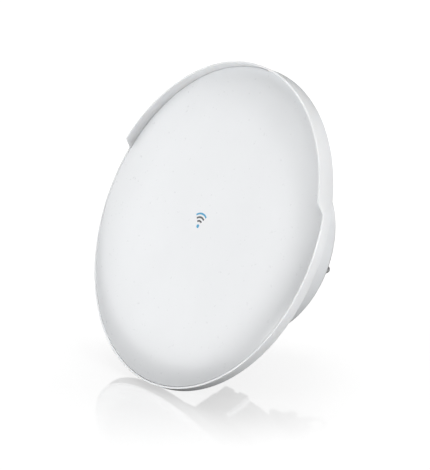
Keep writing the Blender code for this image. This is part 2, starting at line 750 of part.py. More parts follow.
def tilt_bracket(head):
    """The channel on the hub's back: its ears carry the pivot bolts and the lock bolts."""
    base = lip(HUB_BACK_DEPTH) + GAP
    channel = bent_channel(TILT_EAR_INSIDE, TILT_EAR_SHEET, base, 16 * MM, False, 50 * MM)
    bracket = add_mesh("tilt_bracket", channel, WHITE_PAINT, head)
    side = [(base - 2 * MM, TILT_PLATE_HALF_HEIGHT), (base + 4 * MM, TILT_PLATE_HALF_HEIGHT)]
    side += arc(0, LOCK_ARC_RADIUS, 6.3 * MM, math.radians(-25), math.radians(85), 5)
    side += arc(0, 0, 12 * MM, math.radians(85), math.radians(165), 5)
    side += [(base + 4 * MM, -TILT_PLATE_HALF_HEIGHT), (base - 2 * MM, -TILT_PLATE_HALF_HEIGHT)]
    combine(bracket, "INTERSECT", prism(side, "X", -60 * MM, 60 * MM))
    holes = [
        rod("X", (0, 0), PIVOT_BOLT_RADIUS + GAP, -60 * MM, 60 * MM, 16),
        rod("X", (0, LOCK_ARC_RADIUS), LOCK_BOLT_RADIUS + GAP, -60 * MM, 60 * MM, 14),
    ]
    holes += [rod("Y", p, 2.8 * MM, base - MM, base + 5 * MM, 12) for p in four_corners(BOSS_PLACE)]
    combine(bracket, "DIFFERENCE", merged(holes))


def bracket_screws(head):
    seat = lip(HUB_BACK_DEPTH) + GAP + TILT_EAR_SHEET + GAP
    for number, place in enumerate(four_corners(BOSS_PLACE), 1):
        pan_screw(f"bracket_screw_{number}", place, seat, 1, 2.0 * MM, 15 * MM, head)


def elevation_bolts(head):
    """Pivot and lock bolts through both ears on each side, heads outside and nuts inside."""
    yoke_outside = TILT_EAR_INSIDE + TILT_EAR_SHEET + 2 * GAP + YOKE_SHEET
    for side, word in ((-1, "left"), (1, "right")):
        seat = side * (yoke_outside + GAP)
        nut_seat = side * (TILT_EAR_INSIDE - GAP)
        for kind, shank, z, flats, nut in (
            ("pivot", PIVOT_BOLT_RADIUS, 0, 10 * MM, 5 * MM),
            ("lock", LOCK_BOLT_RADIUS, LOCK_ARC_RADIUS, 8 * MM, 4.5 * MM),
        ):
            head_top = seat + side * 1.3 * shank
            end = nut_seat - side * (nut + MM)
            hex_bolt(f"{kind}_bolt_{word}", "X", (0, z), shank, flats, head_top, seat, end, head)
            hex_nut(f"{kind}_nut_{word}", "X", (0, z), shank, flats, nut_seat, nut_seat - side * nut, head)


# ---------------------------------------------------------------- pole clamp


def yoke_side_outline(pivot):
    """Side view (y, z) of the pole bracket: a tall web, and ears reaching forward round the pivot."""
    web_front = pivot + 10 * MM
    beyond = 3 * MM
    outer = LOCK_ARC_RADIUS + 8 * MM
    outline = [(beyond, YOKE_HALF_HEIGHT), (web_front, YOKE_HALF_HEIGHT)]
    outline += arc(pivot, 0, outer, math.radians(15), math.radians(-43), 6)
    outline += arc(pivot, 0, 13 * MM, math.radians(-78), math.radians(-150), 5)
    outline += [(web_front, -28 * MM), (web_front, -YOKE_HALF_HEIGHT), (beyond, -YOKE_HALF_HEIGHT)]
    return outline


def saddle(z):
    """A flange behind the web with a toothed right-angled notch that grips the pole."""
    depth = SADDLE_LENGTH - SADDLE_APEX
    step = depth / SADDLE_TEETH
    tooth = 1.2 * MM
    edge = []
    for i in range(SADDLE_TEETH):
        x = depth - step * i
        edge += [(x, SADDLE_APEX + x), (x - step / 2 - tooth / 2, SADDLE_APEX + x - step / 2 + tooth / 2)]
    right = [(SADDLE_LENGTH + 9 * MM, -1.5 * MM), (SADDLE_LENGTH + 5 * MM, SADDLE_LENGTH)] + edge
    left = [(-x, y) for x, y in right[::-1]]
    return prism(right + [(0, SADDLE_APEX)] + left, "Z", z - YOKE_SHEET / 2, z + YOKE_SHEET / 2)


def lock_slot(pivot):
    """The curved slot for the lock bolts, as a (y, z) outline."""
    half = LOCK_BOLT_RADIUS + GAP
    end = TILT_RANGE + math.radians(0.5)
    outline = arc(pivot, 0, LOCK_ARC_RADIUS + half, -end, end, 6)
    y, z = pivot + LOCK_ARC_RADIUS * math.sin(end), LOCK_ARC_RADIUS * math.cos(end)
    outline += arc(y, z, half, end + math.radians(30), end + math.radians(150), 4)
    outline += arc(pivot, 0, LOCK_ARC_RADIUS - half, end, -end, 6)
    outline += arc(2 * pivot - y, z, half, -end + math.radians(210), -end + math.radians(330), 4)
    return outline


def pole_bracket():
    pivot = -PIVOT_TO_POLE_FACE
    inside = TILT_EAR_INSIDE + TILT_EAR_SHEET + 2 * GAP
    channel = bent_channel(inside, YOKE_SHEET, pivot - 25 * MM, 0, True, 50 * MM)
    bracket = add_mesh("pole_bracket", channel, WHITE_PAINT, None)
    combine(bracket, "INTERSECT", prism(yoke_side_outline(pivot), "X", -60 * MM, 60 * MM))
    level = YOKE_HALF_HEIGHT - 2 * MM
    combine(bracket, "UNION", merged([saddle(-level), saddle(level)]))
    cuts = [rod("X", (pivot, 0), PIVOT_BOLT_RADIUS + GAP, -60 * MM, 60 * MM, 16)]
    cuts += [prism(lock_slot(pivot), "X", -60 * MM, 60 * MM)]
    places = four_corners((U_BOLT_BEND, U_BOLT_HEIGHT))
    cuts += [rod("Y", p, U_BOLT_WIRE + 0.4 * MM, -6 * MM, 3 * MM, 12) for p in places]
    combine(bracket, "DIFFERENCE", merged(cuts))


def u_bolt(name, z):
    """A round rod: leg, half turn round the pole's far side, leg."""
    line = [(-U_BOLT_BEND, U_BOLT_TIP)] + arc(0, U_BOLT_CENTRE, U_BOLT_BEND, math.radians(-90), math.radians(90), 10)
    line += [(U_BOLT_BEND, U_BOLT_TIP)]
    rings = []
    for i, (x, y) in enumerate(line):
        before, after = line[max(i - 1, 0)], line[min(i + 1, len(line) - 1)]
        along = Vector((after[0] - before[0], after[1] - before[1], 0)).normalized()
        if i in (0, 1, len(line) - 2, len(line) - 1):
            along = Vector((0, 1 if x < 0 else -1, 0))
        across = along.cross(Vector((0, 0, 1)))
        centre = Vector((x, y, z))
        rings.append([centre + a * across + Vector((0, 0, b)) for a, b in arc(0, 0, U_BOLT_WIRE, 0, 2 * math.pi, 12)])
    add_mesh(name, loft(rings), ZINC_STEEL, None, (0, U_BOLT_CENTRE, z))


def u_bolt_nuts(word, z):
    front = -YOKE_SHEET - GAP
    for side, hand in ((-1, "left"), (1, "right")):
        place = (side * U_BOLT_BEND, z)
        name = f"u_bolt_nut_{word}_{hand}"
        hex_nut(name, "Y", place, U_BOLT_WIRE, U_BOLT_NUT_FLATS, front - U_BOLT_NUT_HEIGHT, front, None)


# ---------------------------------------------------------------- assembly


def build():
    clear_scene()
    head = add_empty("head_tilt", None, (0, -PIVOT_TO_POLE_FACE, 0))
    head.rotation_euler.x = -TILT_UP
    for make in (
        radome_cover,
        radome_gasket,
        shroud,
        rim_screws,
        reflector,
        feed_tube,
        feed_nut,
        feed_board,
        feed_cap,
        feed_o_ring,
        sub_reflector,
        radio_board,
        shield_can,
        heat_spreader,
        ethernet_jack,
        reset_switch,
        reset_button,
        light_pipe,
        hub_housing,
        hub_gasket,
        hub_screws,
        vent_plug,
        ground_terminal,
        port_door,
        cable_grommet,
        door_seal,
        door_pin,
        tilt_bracket,
        bracket_screws,
        elevation_bolts,
    ):
        make(head)
    pole_bracket()
    for word, z in (("upper", U_BOLT_HEIGHT), ("lower", -U_BOLT_HEIGHT)):
        u_bolt(f"u_bolt_{word}", z)
        u_bolt_nuts(word, z)


build()
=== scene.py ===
"""Looks of an outdoor wireless bridge: a dish behind a radome, its rear radio hub and its pole clamp.

Every piece that shows is rebuilt finer than the CAD solid it stands for, at the same place and size.
The head's pieces are drawn about the elevation pivot, with +Y back along the dish axis and +Z up
across it, and then turned to the rest tilt. A depth is measured back from the lip of the rim.
"""

import json
from math import atan, atan2, cos, hypot, pi, radians, sin, tan

import bmesh
import bpy
from mathutils import Matrix, Vector

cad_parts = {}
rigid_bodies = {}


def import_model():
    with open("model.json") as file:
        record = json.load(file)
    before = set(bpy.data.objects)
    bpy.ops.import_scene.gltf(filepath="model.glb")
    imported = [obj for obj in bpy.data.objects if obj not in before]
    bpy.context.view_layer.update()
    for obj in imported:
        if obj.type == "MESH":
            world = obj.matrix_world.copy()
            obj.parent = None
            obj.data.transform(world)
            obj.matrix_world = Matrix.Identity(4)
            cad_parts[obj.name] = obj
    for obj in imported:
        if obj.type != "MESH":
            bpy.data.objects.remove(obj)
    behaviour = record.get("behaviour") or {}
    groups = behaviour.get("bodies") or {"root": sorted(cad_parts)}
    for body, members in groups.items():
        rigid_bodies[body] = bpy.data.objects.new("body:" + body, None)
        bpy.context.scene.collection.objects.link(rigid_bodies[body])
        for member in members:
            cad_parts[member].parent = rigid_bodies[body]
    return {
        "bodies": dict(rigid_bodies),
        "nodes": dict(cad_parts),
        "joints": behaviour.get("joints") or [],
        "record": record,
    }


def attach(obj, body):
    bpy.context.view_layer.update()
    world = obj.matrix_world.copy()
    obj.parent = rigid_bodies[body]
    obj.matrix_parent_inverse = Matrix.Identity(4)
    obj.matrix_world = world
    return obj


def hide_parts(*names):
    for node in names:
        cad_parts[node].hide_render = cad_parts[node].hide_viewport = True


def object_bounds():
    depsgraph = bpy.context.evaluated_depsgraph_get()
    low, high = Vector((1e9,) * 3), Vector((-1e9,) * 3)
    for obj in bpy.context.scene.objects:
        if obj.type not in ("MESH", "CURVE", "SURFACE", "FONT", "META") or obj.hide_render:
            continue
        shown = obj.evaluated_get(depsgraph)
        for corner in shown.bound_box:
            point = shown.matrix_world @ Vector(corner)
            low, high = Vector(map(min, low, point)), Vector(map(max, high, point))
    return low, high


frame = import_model()
CAD_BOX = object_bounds()

MM = 0.001
GAP = 0.3 * MM
TURN = 2 * pi

JOINTS = {joint["name"]: joint for joint in frame["joints"]}
PIVOT = Vector(JOINTS["elevation_tilt"]["pos_m"])
HEAD_UP = Vector(JOINTS["reset_press"]["axis"])
TILT_UP = atan2(HEAD_UP.y, HEAD_UP.z)
HEAD = Matrix.Translation(PIVOT) @ Matrix.Rotation(-TILT_UP, 4, "X")
WORLD = Matrix.Identity(4)

PIVOT_TO_LIP = 156.4 * MM
RIM_RADIUS = 230 * MM
RIM_WALL = 2.9 * MM
RIM_DEPTH = 14.6 * MM
RIM_FLANGE_RADIUS = 215.4 * MM
RIM_FLANGE_THICKNESS = 3.2 * MM
HOOD_HEIGHT = 13.5 * MM
HOOD_FLARE = 1.6 * MM
HOOD_FOOT_ANGLE = radians(73.7)
HOOD_RAMP_ANGLE = radians(3.6)
RIM_SCREW_RADIUS = 219.5 * MM
RIM_SCREW_COUNT = 6
RIM_SCREW_FIRST = radians(30)
RIM_SCREW_HOLE = 1.9 * MM
SHROUD_STEPS = 264
RAMP_STEPS = 28

RADOME_RADIUS = 226.7 * MM
RADOME_WALL = 2.0 * MM
RADOME_RISE = 12.5 * MM
RADOME_EDGE_DEPTH = 0.8 * MM
RADOME_POWER = 7
RADOME_EDGE_ROUNDING = 1.2 * MM
RADOME_INSIDE = 0.965 * RADOME_RADIUS
RADOME_STEPS = 44
SKIRT_WALL = 3.0 * MM
SKIRT_ROOT = 4.0 * MM
GASKET_HEIGHT = 1.4 * MM
MARK_CENTRE = (0.6 * MM, -5.5 * MM)
MARK_THICKNESS = 0.06 * MM
MARK_SPREAD = radians(38)
MARK_ARCS = ((6.2, 8.8, "dark_ink"), (11.4, 14.0, "dark_ink"), (16.6, 19.2, "blue_ink"))
MARK_DOT = 2.7 * MM

REFLECTOR_SHEET = 1.5 * MM
BOWL_RADIUS = 214 * MM
FLANGE_DEPTH = 9.6 * MM
FOCAL_LENGTH = 100 * MM
FOCUS_RING_RADIUS = 25 * MM
FLAT_RADIUS = 48 * MM
FEED_RADIUS = 20 * MM
REFLECTOR_STEPS = 48

HUB_RADIUS = 126.8 * MM
HUB_FRONT_RADIUS = 130 * MM
HUB_FRONT_DEPTH = 77.5 * MM
HUB_BACK_DEPTH = 129.4 * MM
HUB_WALL = 3.0 * MM
HUB_EDGE_ROUNDING = 8 * MM
HUB_BACK_CUT = (124 * MM, 131 * MM)
BOSS_PLACE = (18 * MM, 35.7 * MM)
BOSS_RADIUS = 5 * MM
BOSS_BORE = 2.4 * MM
VENT_PLACE = (-62 * MM, -58 * MM)
VENT_HOLE = 5 * MM
GROUND_PLACE = (62 * MM, -58 * MM)
LED_LINE = -85 * MM
LED_SIDES = (-12 * MM, 0, 12 * MM)
LED_HOLE = 1.5 * MM
BAY_HALF_WIDTH = 27 * MM
BAY_FRONT_DEPTH = 88 * MM
BAY_BACK_DEPTH = 125 * MM
BAY_BOTTOM = 131.5 * MM
BAY_WALL = 2.5 * MM
BAY_CEILING = 126.5 * MM
KNUCKLE_RADIUS = 2.6 * MM
DOOR_TOP = -BAY_BOTTOM - 1.4 * MM
DOOR_THICKNESS = 2.2 * MM
DOOR_BOTTOM = DOOR_TOP - DOOR_THICKNESS
DOOR_BARREL_RADIUS = 2.4 * MM
DOOR_PIN_RADIUS = 1.2 * MM
DOOR_PIN_HALF = 28 * MM
CABLE_NOTCH = 6.3 * MM
CABLE_DEPTH = 114 * MM
BUTTON_DEPTH = 111.6 * MM
BUTTON_SIDE = 14 * MM
BUTTON_HOLE = 2.1 * MM

PIVOT_BOLT_RADIUS = 3.0 * MM
LOCK_BOLT_RADIUS = 2.5 * MM
LOCK_ARC_RADIUS = 19 * MM
TILT_EAR_INSIDE = 40.5 * MM
TILT_EAR_SHEET = 2.5 * MM
TILT_PLATE_HALF_HEIGHT = 42 * MM
YOKE_SHEET = 3.0 * MM
YOKE_HALF_HEIGHT = 47 * MM
TILT_RANGE = radians(25)
SADDLE_LENGTH = 19 * MM
SADDLE_APEX = 3 * MM
SADDLE_TEETH = 4
SADDLE_TOOTH = 1.2 * MM
U_BOLT_WIRE = 2.5 * MM
U_BOLT_BEND = 25.5 * MM
U_BOLT_CENTRE = 26.6 * MM
U_BOLT_HEIGHT = 30.5 * MM
U_BOLT_TIP = -16 * MM
U_BOLT_NUT_FLATS = 8 * MM
U_BOLT_NUT_HEIGHT = 4 * MM

LATHE_STEPS = 240
SMALL_STEPS = 48
HEX_STEPS = 72
THREAD_STEPS = 24
SHARP_ANGLE = radians(32)
BRACKET_REACH = 60 * MM


# ---- outlines


def lip(depth):
    """The head's y coordinate at a depth behind the rim's lip."""
    return depth - PIVOT_TO_LIP


def at_depth(profile):
    return [(radius, lip(depth)) for radius, depth in profile]


def arc(centre_a, centre_b, radius, start, end, steps):
    """Points of an arc, angles from the second coordinate; a whole turn leaves its last point out."""
    whole = abs(abs(end - start) - TURN) < 1e-9
    count = steps if whole else steps + 1
    angles = [start + (end - start) * i / steps for i in range(count)]
    return [(centre_a + radius * sin(a), centre_b + radius * cos(a)) for a in angles]


def around(count, radius, first=0.0):
    """Evenly spaced (x, z) places on a circle about the dish axis."""
    return arc(0, 0, radius, first, first + TURN, count)


def four_corners(place):
    return [(sx * place[0], sz * place[1]) for sx in (-1, 1) for sz in (-1, 1)]


def rounded(points, radii, steps=4):
    """A closed outline with its corners rounded by one radius, or by one for each corner."""
    if not isinstance(radii, (list, tuple)):
        radii = [radii] * len(points)
    outline = []
    for i, radius in enumerate(radii):
        corner = Vector(points[i])
        before = Vector(points[i - 1]) - corner
        after = Vector(points[(i + 1) % len(points)]) - corner
        if radius <= 0 or before.angle(after) > radians(178):
            outline.append(tuple(points[i]))
            continue
        half = before.angle(after) / 2
        reach = min(radius / tan(half), 0.48 * before.length, 0.48 * after.length)
        inward = (before.normalized() + after.normalized()).normalized()
        centre = corner + inward * reach / cos(half)
        start = corner + before.normalized() * reach - centre
        end = corner + after.normalized() * reach - centre
        first = atan2(start.y, start.x)
        sweep = (atan2(end.y, end.x) - first + pi) % TURN - pi
        for k in range(steps + 1):
            angle = first + sweep * k / steps
            outline.append(tuple(centre + start.length * Vector((cos(angle), sin(angle)))))
    return outline


# ---- shapes


def join_rings(shape, first, second):
    count = max(len(first), len(second))
    if count == 1:
        return
    for i in range(count):
        j = (i + 1) % count
        corners = [first[i % len(first)], first[j % len(first)]]
        corners += [second[j % len(second)], second[i % len(second)]]
        shape.faces.new(list(dict.fromkeys(corners)))


def loft(rings, looped=False):
    """A closed skin through rings of points; an unlooped one has flat ends."""
    shape = bmesh.new()
    made = [[shape.verts.new(point) for point in points] for points in rings]
    for first, second in zip(made, made[1:]):
        join_rings(shape, first, second)
    if looped:
        join_rings(shape, made[-1], made[0])
    else:
        for end in (made[0], made[-1]):
            if len(end) > 2:
                shape.faces.new(end)
    bmesh.ops.recalc_face_normals(shape, faces=shape.faces)
    return shape


def revolve(profile, steps=LATHE_STEPS, centre=(0, 0)):
    """Turns (radius, y) points about Y through centre (x, z); a zero radius closes on the axis."""
    rings = []
    for radius, y in profile:
        places = arc(*centre, radius, 0, TURN, steps)[: steps if radius > 0 else 1]
        rings.append([(x, y, z) for x, z in places])
    return loft(rings, looped=profile[0][0] > 0)


def on_axis(axis, across, along):
    point = list(across)
    point.insert("XYZ".index(axis), along)
    return point


def prism(outline, axis, low, high):
    return loft([[on_axis(axis, place, along) for place in outline] for along in (low, high)])


def rod(axis, centre, radius, low, high, steps=SMALL_STEPS):
    return prism(arc(*centre, radius, 0, TURN, steps), axis, low, high)


def drill(place, radius, front, back, steps=32):
    """A core along Y between two depths."""
    return rod("Y", place, radius, lip(front), lip(back), steps)


def soft_box(low, high, radius, axis="Y", steps=5):
    """A box whose four edges along the axis are rounded."""
    along = "XYZ".index(axis)
    a, b = [i for i in range(3) if i != along]
    corners = [(low[a], low[b]), (high[a], low[b]), (high[a], high[b]), (low[a], high[b])]
    return prism(rounded(corners, radius, steps), axis, low[along], high[along])


def box(low, high):
    return soft_box(low, high, 0, "Z")


def merged(shapes):
    total = bmesh.new()
    for shape in shapes:
        mesh = bpy.data.meshes.new("merging")
        shape.to_mesh(mesh)
        shape.free()
        total.from_mesh(mesh)
        bpy.data.meshes.remove(mesh)
    return total


# ---- pieces


def as_object(name, shape):
    mesh = bpy.data.meshes.new(name)
    shape.to_mesh(mesh)
    shape.free()
    obj = bpy.data.objects.new(name, mesh)
    bpy.context.scene.collection.objects.link(obj)
    return obj


def apply_modifiers(obj):
    graph = bpy.context.evaluated_depsgraph_get()
    mesh = bpy.data.meshes.new_from_object(obj.evaluated_get(graph))
    obj.modifiers.clear()
    old, obj.data = obj.data, mesh
    bpy.data.meshes.remove(old)
    mesh.name = obj.name


def combine(obj, operation, shapes):
    """A Boolean that is applied at once, so that the piece keeps only its final mesh."""
    operand = as_object("operand", merged(shapes))
    modifier = obj.modifiers.new("combine", "BOOLEAN")
    modifier.operation = operation
    modifier.solver = "EXACT"
    modifier.object = operand
    apply_modifiers(obj)
    bpy.data.objects.remove(operand)


def cut(obj, shapes):
    combine(obj, "DIFFERENCE", shapes)


def soften(obj, width, segments=3):
    """Rounds the edges that turn by more than 50 degrees."""
    modifier = obj.modifiers.new("soften", "BEVEL")
    modifier.width = width
    modifier.segments = segments
    modifier.limit_method = "ANGLE"
    modifier.angle_limit = radians(50)
    modifier.use_clamp_overlap = True
    apply_modifiers(obj)


def settle(obj, slot, body, node=None, place=HEAD):
    """Gives a finished piece its place, its material and its body, and hides the CAD node it stands
    for.
    """
    obj.data.transform(place)
    dress(obj, slot)
    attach(obj, body)
    if node:
        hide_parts(node)


def dress(obj, slot):
    obj.data.shade_smooth()
    obj.data.set_sharp_from_angle(angle=SHARP_ANGLE)
    obj.data.materials.clear()
    obj.data.materials.append(LOOKS[slot])


# ---- materials


class Look:
    """Builds one procedural material in the head's own coordinates at rest."""

    def __init__(self, name):
        self.material = bpy.data.materials.new(name)
        self.material.use_nodes = True
        self.nodes = self.material.node_tree.nodes
        self.shader = self.nodes["Principled BSDF"]
        self.position = self.node("TexCoord").outputs["Object"]
        moved = -(Matrix.Rotation(TILT_UP, 3, "X") @ PIVOT)
        place = self.node("Mapping", Vector=self.position, Rotation=(TILT_UP, 0, 0), Location=moved)
        self.place = place.outputs["Vector"]

    def put(self, socket, value):
        """Links an input to another node's output, or gives it a value."""
        if isinstance(value, bpy.types.NodeSocket):
            self.material.node_tree.links.new(value, socket)
        elif socket.type == "RGBA":
            socket.default_value = (*value, 1.0)
        else:
            socket.default_value = value

    def node(self, kind, **inputs):
        """A new node; an underscore in an input's name stands for a space."""
        made = self.nodes.new("ShaderNode" + kind)
        for name, value in inputs.items():
            self.put(made.inputs[name.replace("_", " ")], value)
        return made

    def set(self, **values):
        for name, value in values.items():
            title = name.replace("_", " ").title().replace("Ior", "IOR")
            self.put(self.shader.inputs[title], value)
        return self

    def stretched(self, scale):
        """The head's coordinates scaled by one factor for each axis."""
        return self.node("Mapping", Vector=self.place, Scale=scale).outputs["Vector"]

    def noise(self, scale, detail=2.0, roughness=0.5, vector=None, distortion=0.0):
        made = self.node("TexNoise", Vector=vector or self.place, Scale=scale, Detail=detail)
        self.put(made.inputs["Roughness"], roughness)
        self.put(made.inputs["Distortion"], distortion)
        return made.outputs["Fac"]

    def cells(self, scale, feature="F1"):
        made = self.nodes.new("ShaderNodeTexVoronoi")
        made.feature = feature
        self.put(made.inputs["Vector"], self.place)
        self.put(made.inputs["Scale"], scale)
        return made.outputs["Distance"]

    def ramp(self, value, low, high, to_low=0.0, to_high=1.0):
        span = {"From_Min": low, "From_Max": high, "To_Min": to_low, "To_Max": to_high}
        return self.node("MapRange", Value=value, **span).outputs["Result"]

    def tone(self, scale, detail=2.0, roughness=0.5, low=0.0, high=1.0):
        """Noise spread between two values."""
        return self.ramp(self.noise(scale, detail, roughness), *NOISE_SPAN, low, high)

    def mix(self, factor, first, second):
        made = self.nodes.new("ShaderNodeMix")
        made.data_type = "RGBA"
        for socket, value in zip([s for s in made.inputs if s.enabled], (factor, first, second)):
            self.put(socket, value)
        return [s for s in made.outputs if s.enabled][0]

    def calc(self, operation, first, second=0.0):
        made = self.nodes.new("ShaderNodeMath")
        made.operation = operation
        self.put(made.inputs[0], first)
        self.put(made.inputs[1], second)
        return made.outputs["Value"]

    def blend_shaders(self, factor, first, second):
        made = self.node("MixShader", Fac=factor)
        self.put(made.inputs[1], first.outputs[0])
        self.put(made.inputs[2], second.outputs[0])
        return made

    def crevice_shade(self, distance, low, high):
        """A mask for painted shade: 1 in the open and 0 deep between surfaces closer than the distance.
        """
        made = self.node("AmbientOcclusion", Distance=distance)
        made.samples = 4
        return self.ramp(made.outputs["AO"], low, high)

    def edges(self, low, high):
        """1 on worn convex edges of a dense mesh."""
        return self.ramp(self.node("NewGeometry").outputs["Pointiness"], low, high)

    def bump(self, height, strength, distance, onto=None):
        made = self.node("Bump", Height=height, Strength=strength, Distance=distance)
        if onto:
            self.put(made.inputs["Normal"], onto)
        return made.outputs["Normal"]


NOISE_SPAN = (0.3, 0.7)


def shade(colour, share):
    return tuple(min(1.0, part * share) for part in colour)


def moulded_plastic(name, colour, roughness, coat=0.0, thin=0.0):
    """Spark-eroded mould texture, faint flow marks and painted shade between parts; thin walls let
    light by.
    """
    look = Look(name)
    base = look.mix(look.tone(9, 3, 0.55), shade(colour, 0.985), shade(colour, 1.015))
    streaks = look.ramp(look.noise(70, 4, 0.6, look.stretched((1.0, 0.25, 1.0))), 0.25, 0.75)
    base = look.mix(look.calc("MULTIPLY", streaks, 0.035), base, shade(colour, 0.9))
    # Painted shade: the colour darkens where nearby surfaces close in between parts.
    base = look.mix(look.crevice_shade(0.6 * MM, 0.05, 0.5), shade(colour, 0.88), base)
    shine = look.tone(160, 3, 0.6, roughness - 0.03, roughness + 0.04)
    waves = look.bump(look.noise(26, 1), 0.05, 0.25 * MM)
    grain = look.bump(look.noise(1400, 3, 0.6), 0.08, 0.06 * MM, waves)
    look.set(base_color=base, roughness=shine, normal=grain, ior=1.5)
    if thin:
        look.set(subsurface_weight=thin, subsurface_scale=5 * MM, subsurface_radius=(1.0, 0.95, 0.9))
    return look.set(coat_weight=coat, coat_roughness=0.22, coat_ior=1.5).material


def powder_coat(name, colour):
    """Baked powder paint: orange peel, and metal showing faintly at worn edges."""
    look = Look(name)
    base = look.mix(look.tone(14, 3, 0.6), shade(colour, 0.975), shade(colour, 1.01))
    # Painted shade: the paint darkens in crevices where nearby surfaces close in.
    base = look.mix(look.crevice_shade(3 * MM, 0.1, 0.8), shade(colour, 0.7), base)
    spots = look.ramp(look.noise(900, 4, 0.7), 0.56, 0.66)
    base = look.mix(look.calc("MULTIPLY", look.edges(0.56, 0.62), spots), base, (0.55, 0.55, 0.56))
    peel = look.bump(look.noise(620), 0.16, 0.12 * MM)
    grit = look.bump(look.noise(2600), 0.06, 0.04 * MM, peel)
    shine = look.tone(240, 3, 0.5, 0.36, 0.48)
    return look.set(base_color=base, roughness=shine, normal=grit).material


def plated_steel(name, colour=(0.60, 0.61, 0.63), stretch=(1.0, 1.0, 1.0)):
    """Zinc plate: cloudy passivation, fine drawn lines, and painted shade that darkens the roots."""
    look = Look(name)
    clouds = look.ramp(look.noise(220, 4, 0.65, distortion=0.4), 0.3, 0.72)
    base = look.mix(clouds, (0.50, 0.51, 0.52), colour)
    tint = look.ramp(look.noise(130), 0.35, 0.65)
    base = look.mix(look.calc("MULTIPLY", tint, 0.35), base, (0.60, 0.58, 0.50))
    # Painted shade: the zinc turns nearly black in thread roots and crevices.
    base = look.mix(look.crevice_shade(1.6 * MM, 0.15, 0.8), (0.16, 0.16, 0.165), base)
    lines = look.noise(1500, 3, 0.7, look.stretched(stretch))
    shine = look.ramp(lines, *NOISE_SPAN, 0.27, 0.46)
    drawn = look.bump(lines, 0.14, 0.03 * MM)
    return look.set(base_color=base, metallic=1.0, roughness=shine, normal=drawn).material


def spun_aluminium(name):
    """Fine circular turning lines about the dish axis."""
    look = Look(name)
    apart = look.node("SeparateXYZ", Vector=look.place).outputs
    squares = [look.calc("MULTIPLY", apart[axis], apart[axis]) for axis in "XZ"]
    radius = look.calc("SQRT", look.calc("ADD", *squares))
    lines = look.noise(2400, 3, 0.6, look.node("CombineXYZ", X=radius).outputs["Vector"])
    base = look.mix(look.ramp(lines, *NOISE_SPAN), (0.70, 0.71, 0.72), (0.80, 0.81, 0.82))
    shine = look.ramp(lines, *NOISE_SPAN, 0.25, 0.4)
    turned = look.bump(lines, 0.2, 0.04 * MM)
    return look.set(base_color=base, metallic=1.0, roughness=shine, normal=turned).material


def moulded_rubber(name):
    look = Look(name)
    bloom = look.ramp(look.noise(90, 4, 0.65), 0.45, 0.75)
    base = look.mix(look.calc("MULTIPLY", bloom, 0.5), (0.028, 0.028, 0.030), (0.075, 0.075, 0.078))
    skin = look.bump(look.noise(1700, 3, 0.6), 0.25, 0.06 * MM)
    shine = look.tone(300, 3, 0.5, 0.62, 0.85)
    return look.set(base_color=base, roughness=shine, normal=skin).material


def circuit_board(name):
    """Solder mask over copper: fields of copper part by part, with fine tracks and pads."""
    look = Look(name)
    tracks = look.ramp(look.cells(260, "DISTANCE_TO_EDGE"), 0.02, 0.06)
    base = look.mix(tracks, (0.05, 0.30, 0.13), (0.015, 0.16, 0.07))
    base = look.mix(look.ramp(look.cells(420), 0.16, 0.2), (0.62, 0.60, 0.50), base)
    relief = look.bump(tracks, 0.3, 0.05 * MM)
    return look.set(base_color=base, roughness=0.32, normal=relief).material


def clear_plastic(name):
    look = Look(name)
    base = look.mix(look.tone(60), (0.82, 0.90, 0.92), (0.88, 0.95, 0.96))
    haze = look.tone(400, 3, 0.5, 0.08, 0.2)
    return look.set(base_color=base, roughness=haze, transmission_weight=0.75, ior=1.49).material


def printed_ink(name, colour):
    look = Look(name)
    base = look.mix(look.tone(900, 3), shade(colour, 0.92), colour)
    film = look.bump(look.noise(2200), 0.08, 0.03 * MM)
    shine = look.tone(700, 2, 0.5, 0.34, 0.44)
    return look.set(base_color=base, roughness=shine, normal=film).material


LOOKS = {
    "white_plastic": moulded_plastic("white_plastic", (0.80, 0.815, 0.83), 0.30, 0.5),
    "rim_plastic": moulded_plastic("rim_plastic", (0.81, 0.82, 0.83), 0.32, thin=0.5),
    "grey_plastic": moulded_plastic("grey_plastic", (0.48, 0.49, 0.50), 0.5),
    "dark_plastic": moulded_plastic("dark_plastic", (0.045, 0.045, 0.05), 0.45),
    "dark_rubber": moulded_rubber("dark_rubber"),
    "white_paint": powder_coat("white_paint", (0.80, 0.81, 0.82)),
    "zinc_steel": plated_steel("zinc_steel"),
    "tinned_metal": plated_steel("tinned_metal", (0.70, 0.70, 0.68), (1.0, 0.1, 1.0)),
    "aluminium": spun_aluminium("aluminium"),
    "painted_aluminium": powder_coat("painted_aluminium", (0.80, 0.81, 0.82)),
    "circuit_board": circuit_board("circuit_board"),
    "clear_plastic": clear_plastic("clear_plastic"),
    "dark_ink": printed_ink("dark_ink", (0.045, 0.05, 0.06)),
    "blue_ink": printed_ink("blue_ink", (0.03, 0.36, 0.62)),
}


# ---- dish


def radome_depth(radius):
    """Depth of the radome's outer face: flat in the middle, rolling off towards its edge."""
    return RADOME_EDGE_DEPTH - RADOME_RISE * (1 - (radius / RADOME_RADIUS) ** RADOME_POWER)


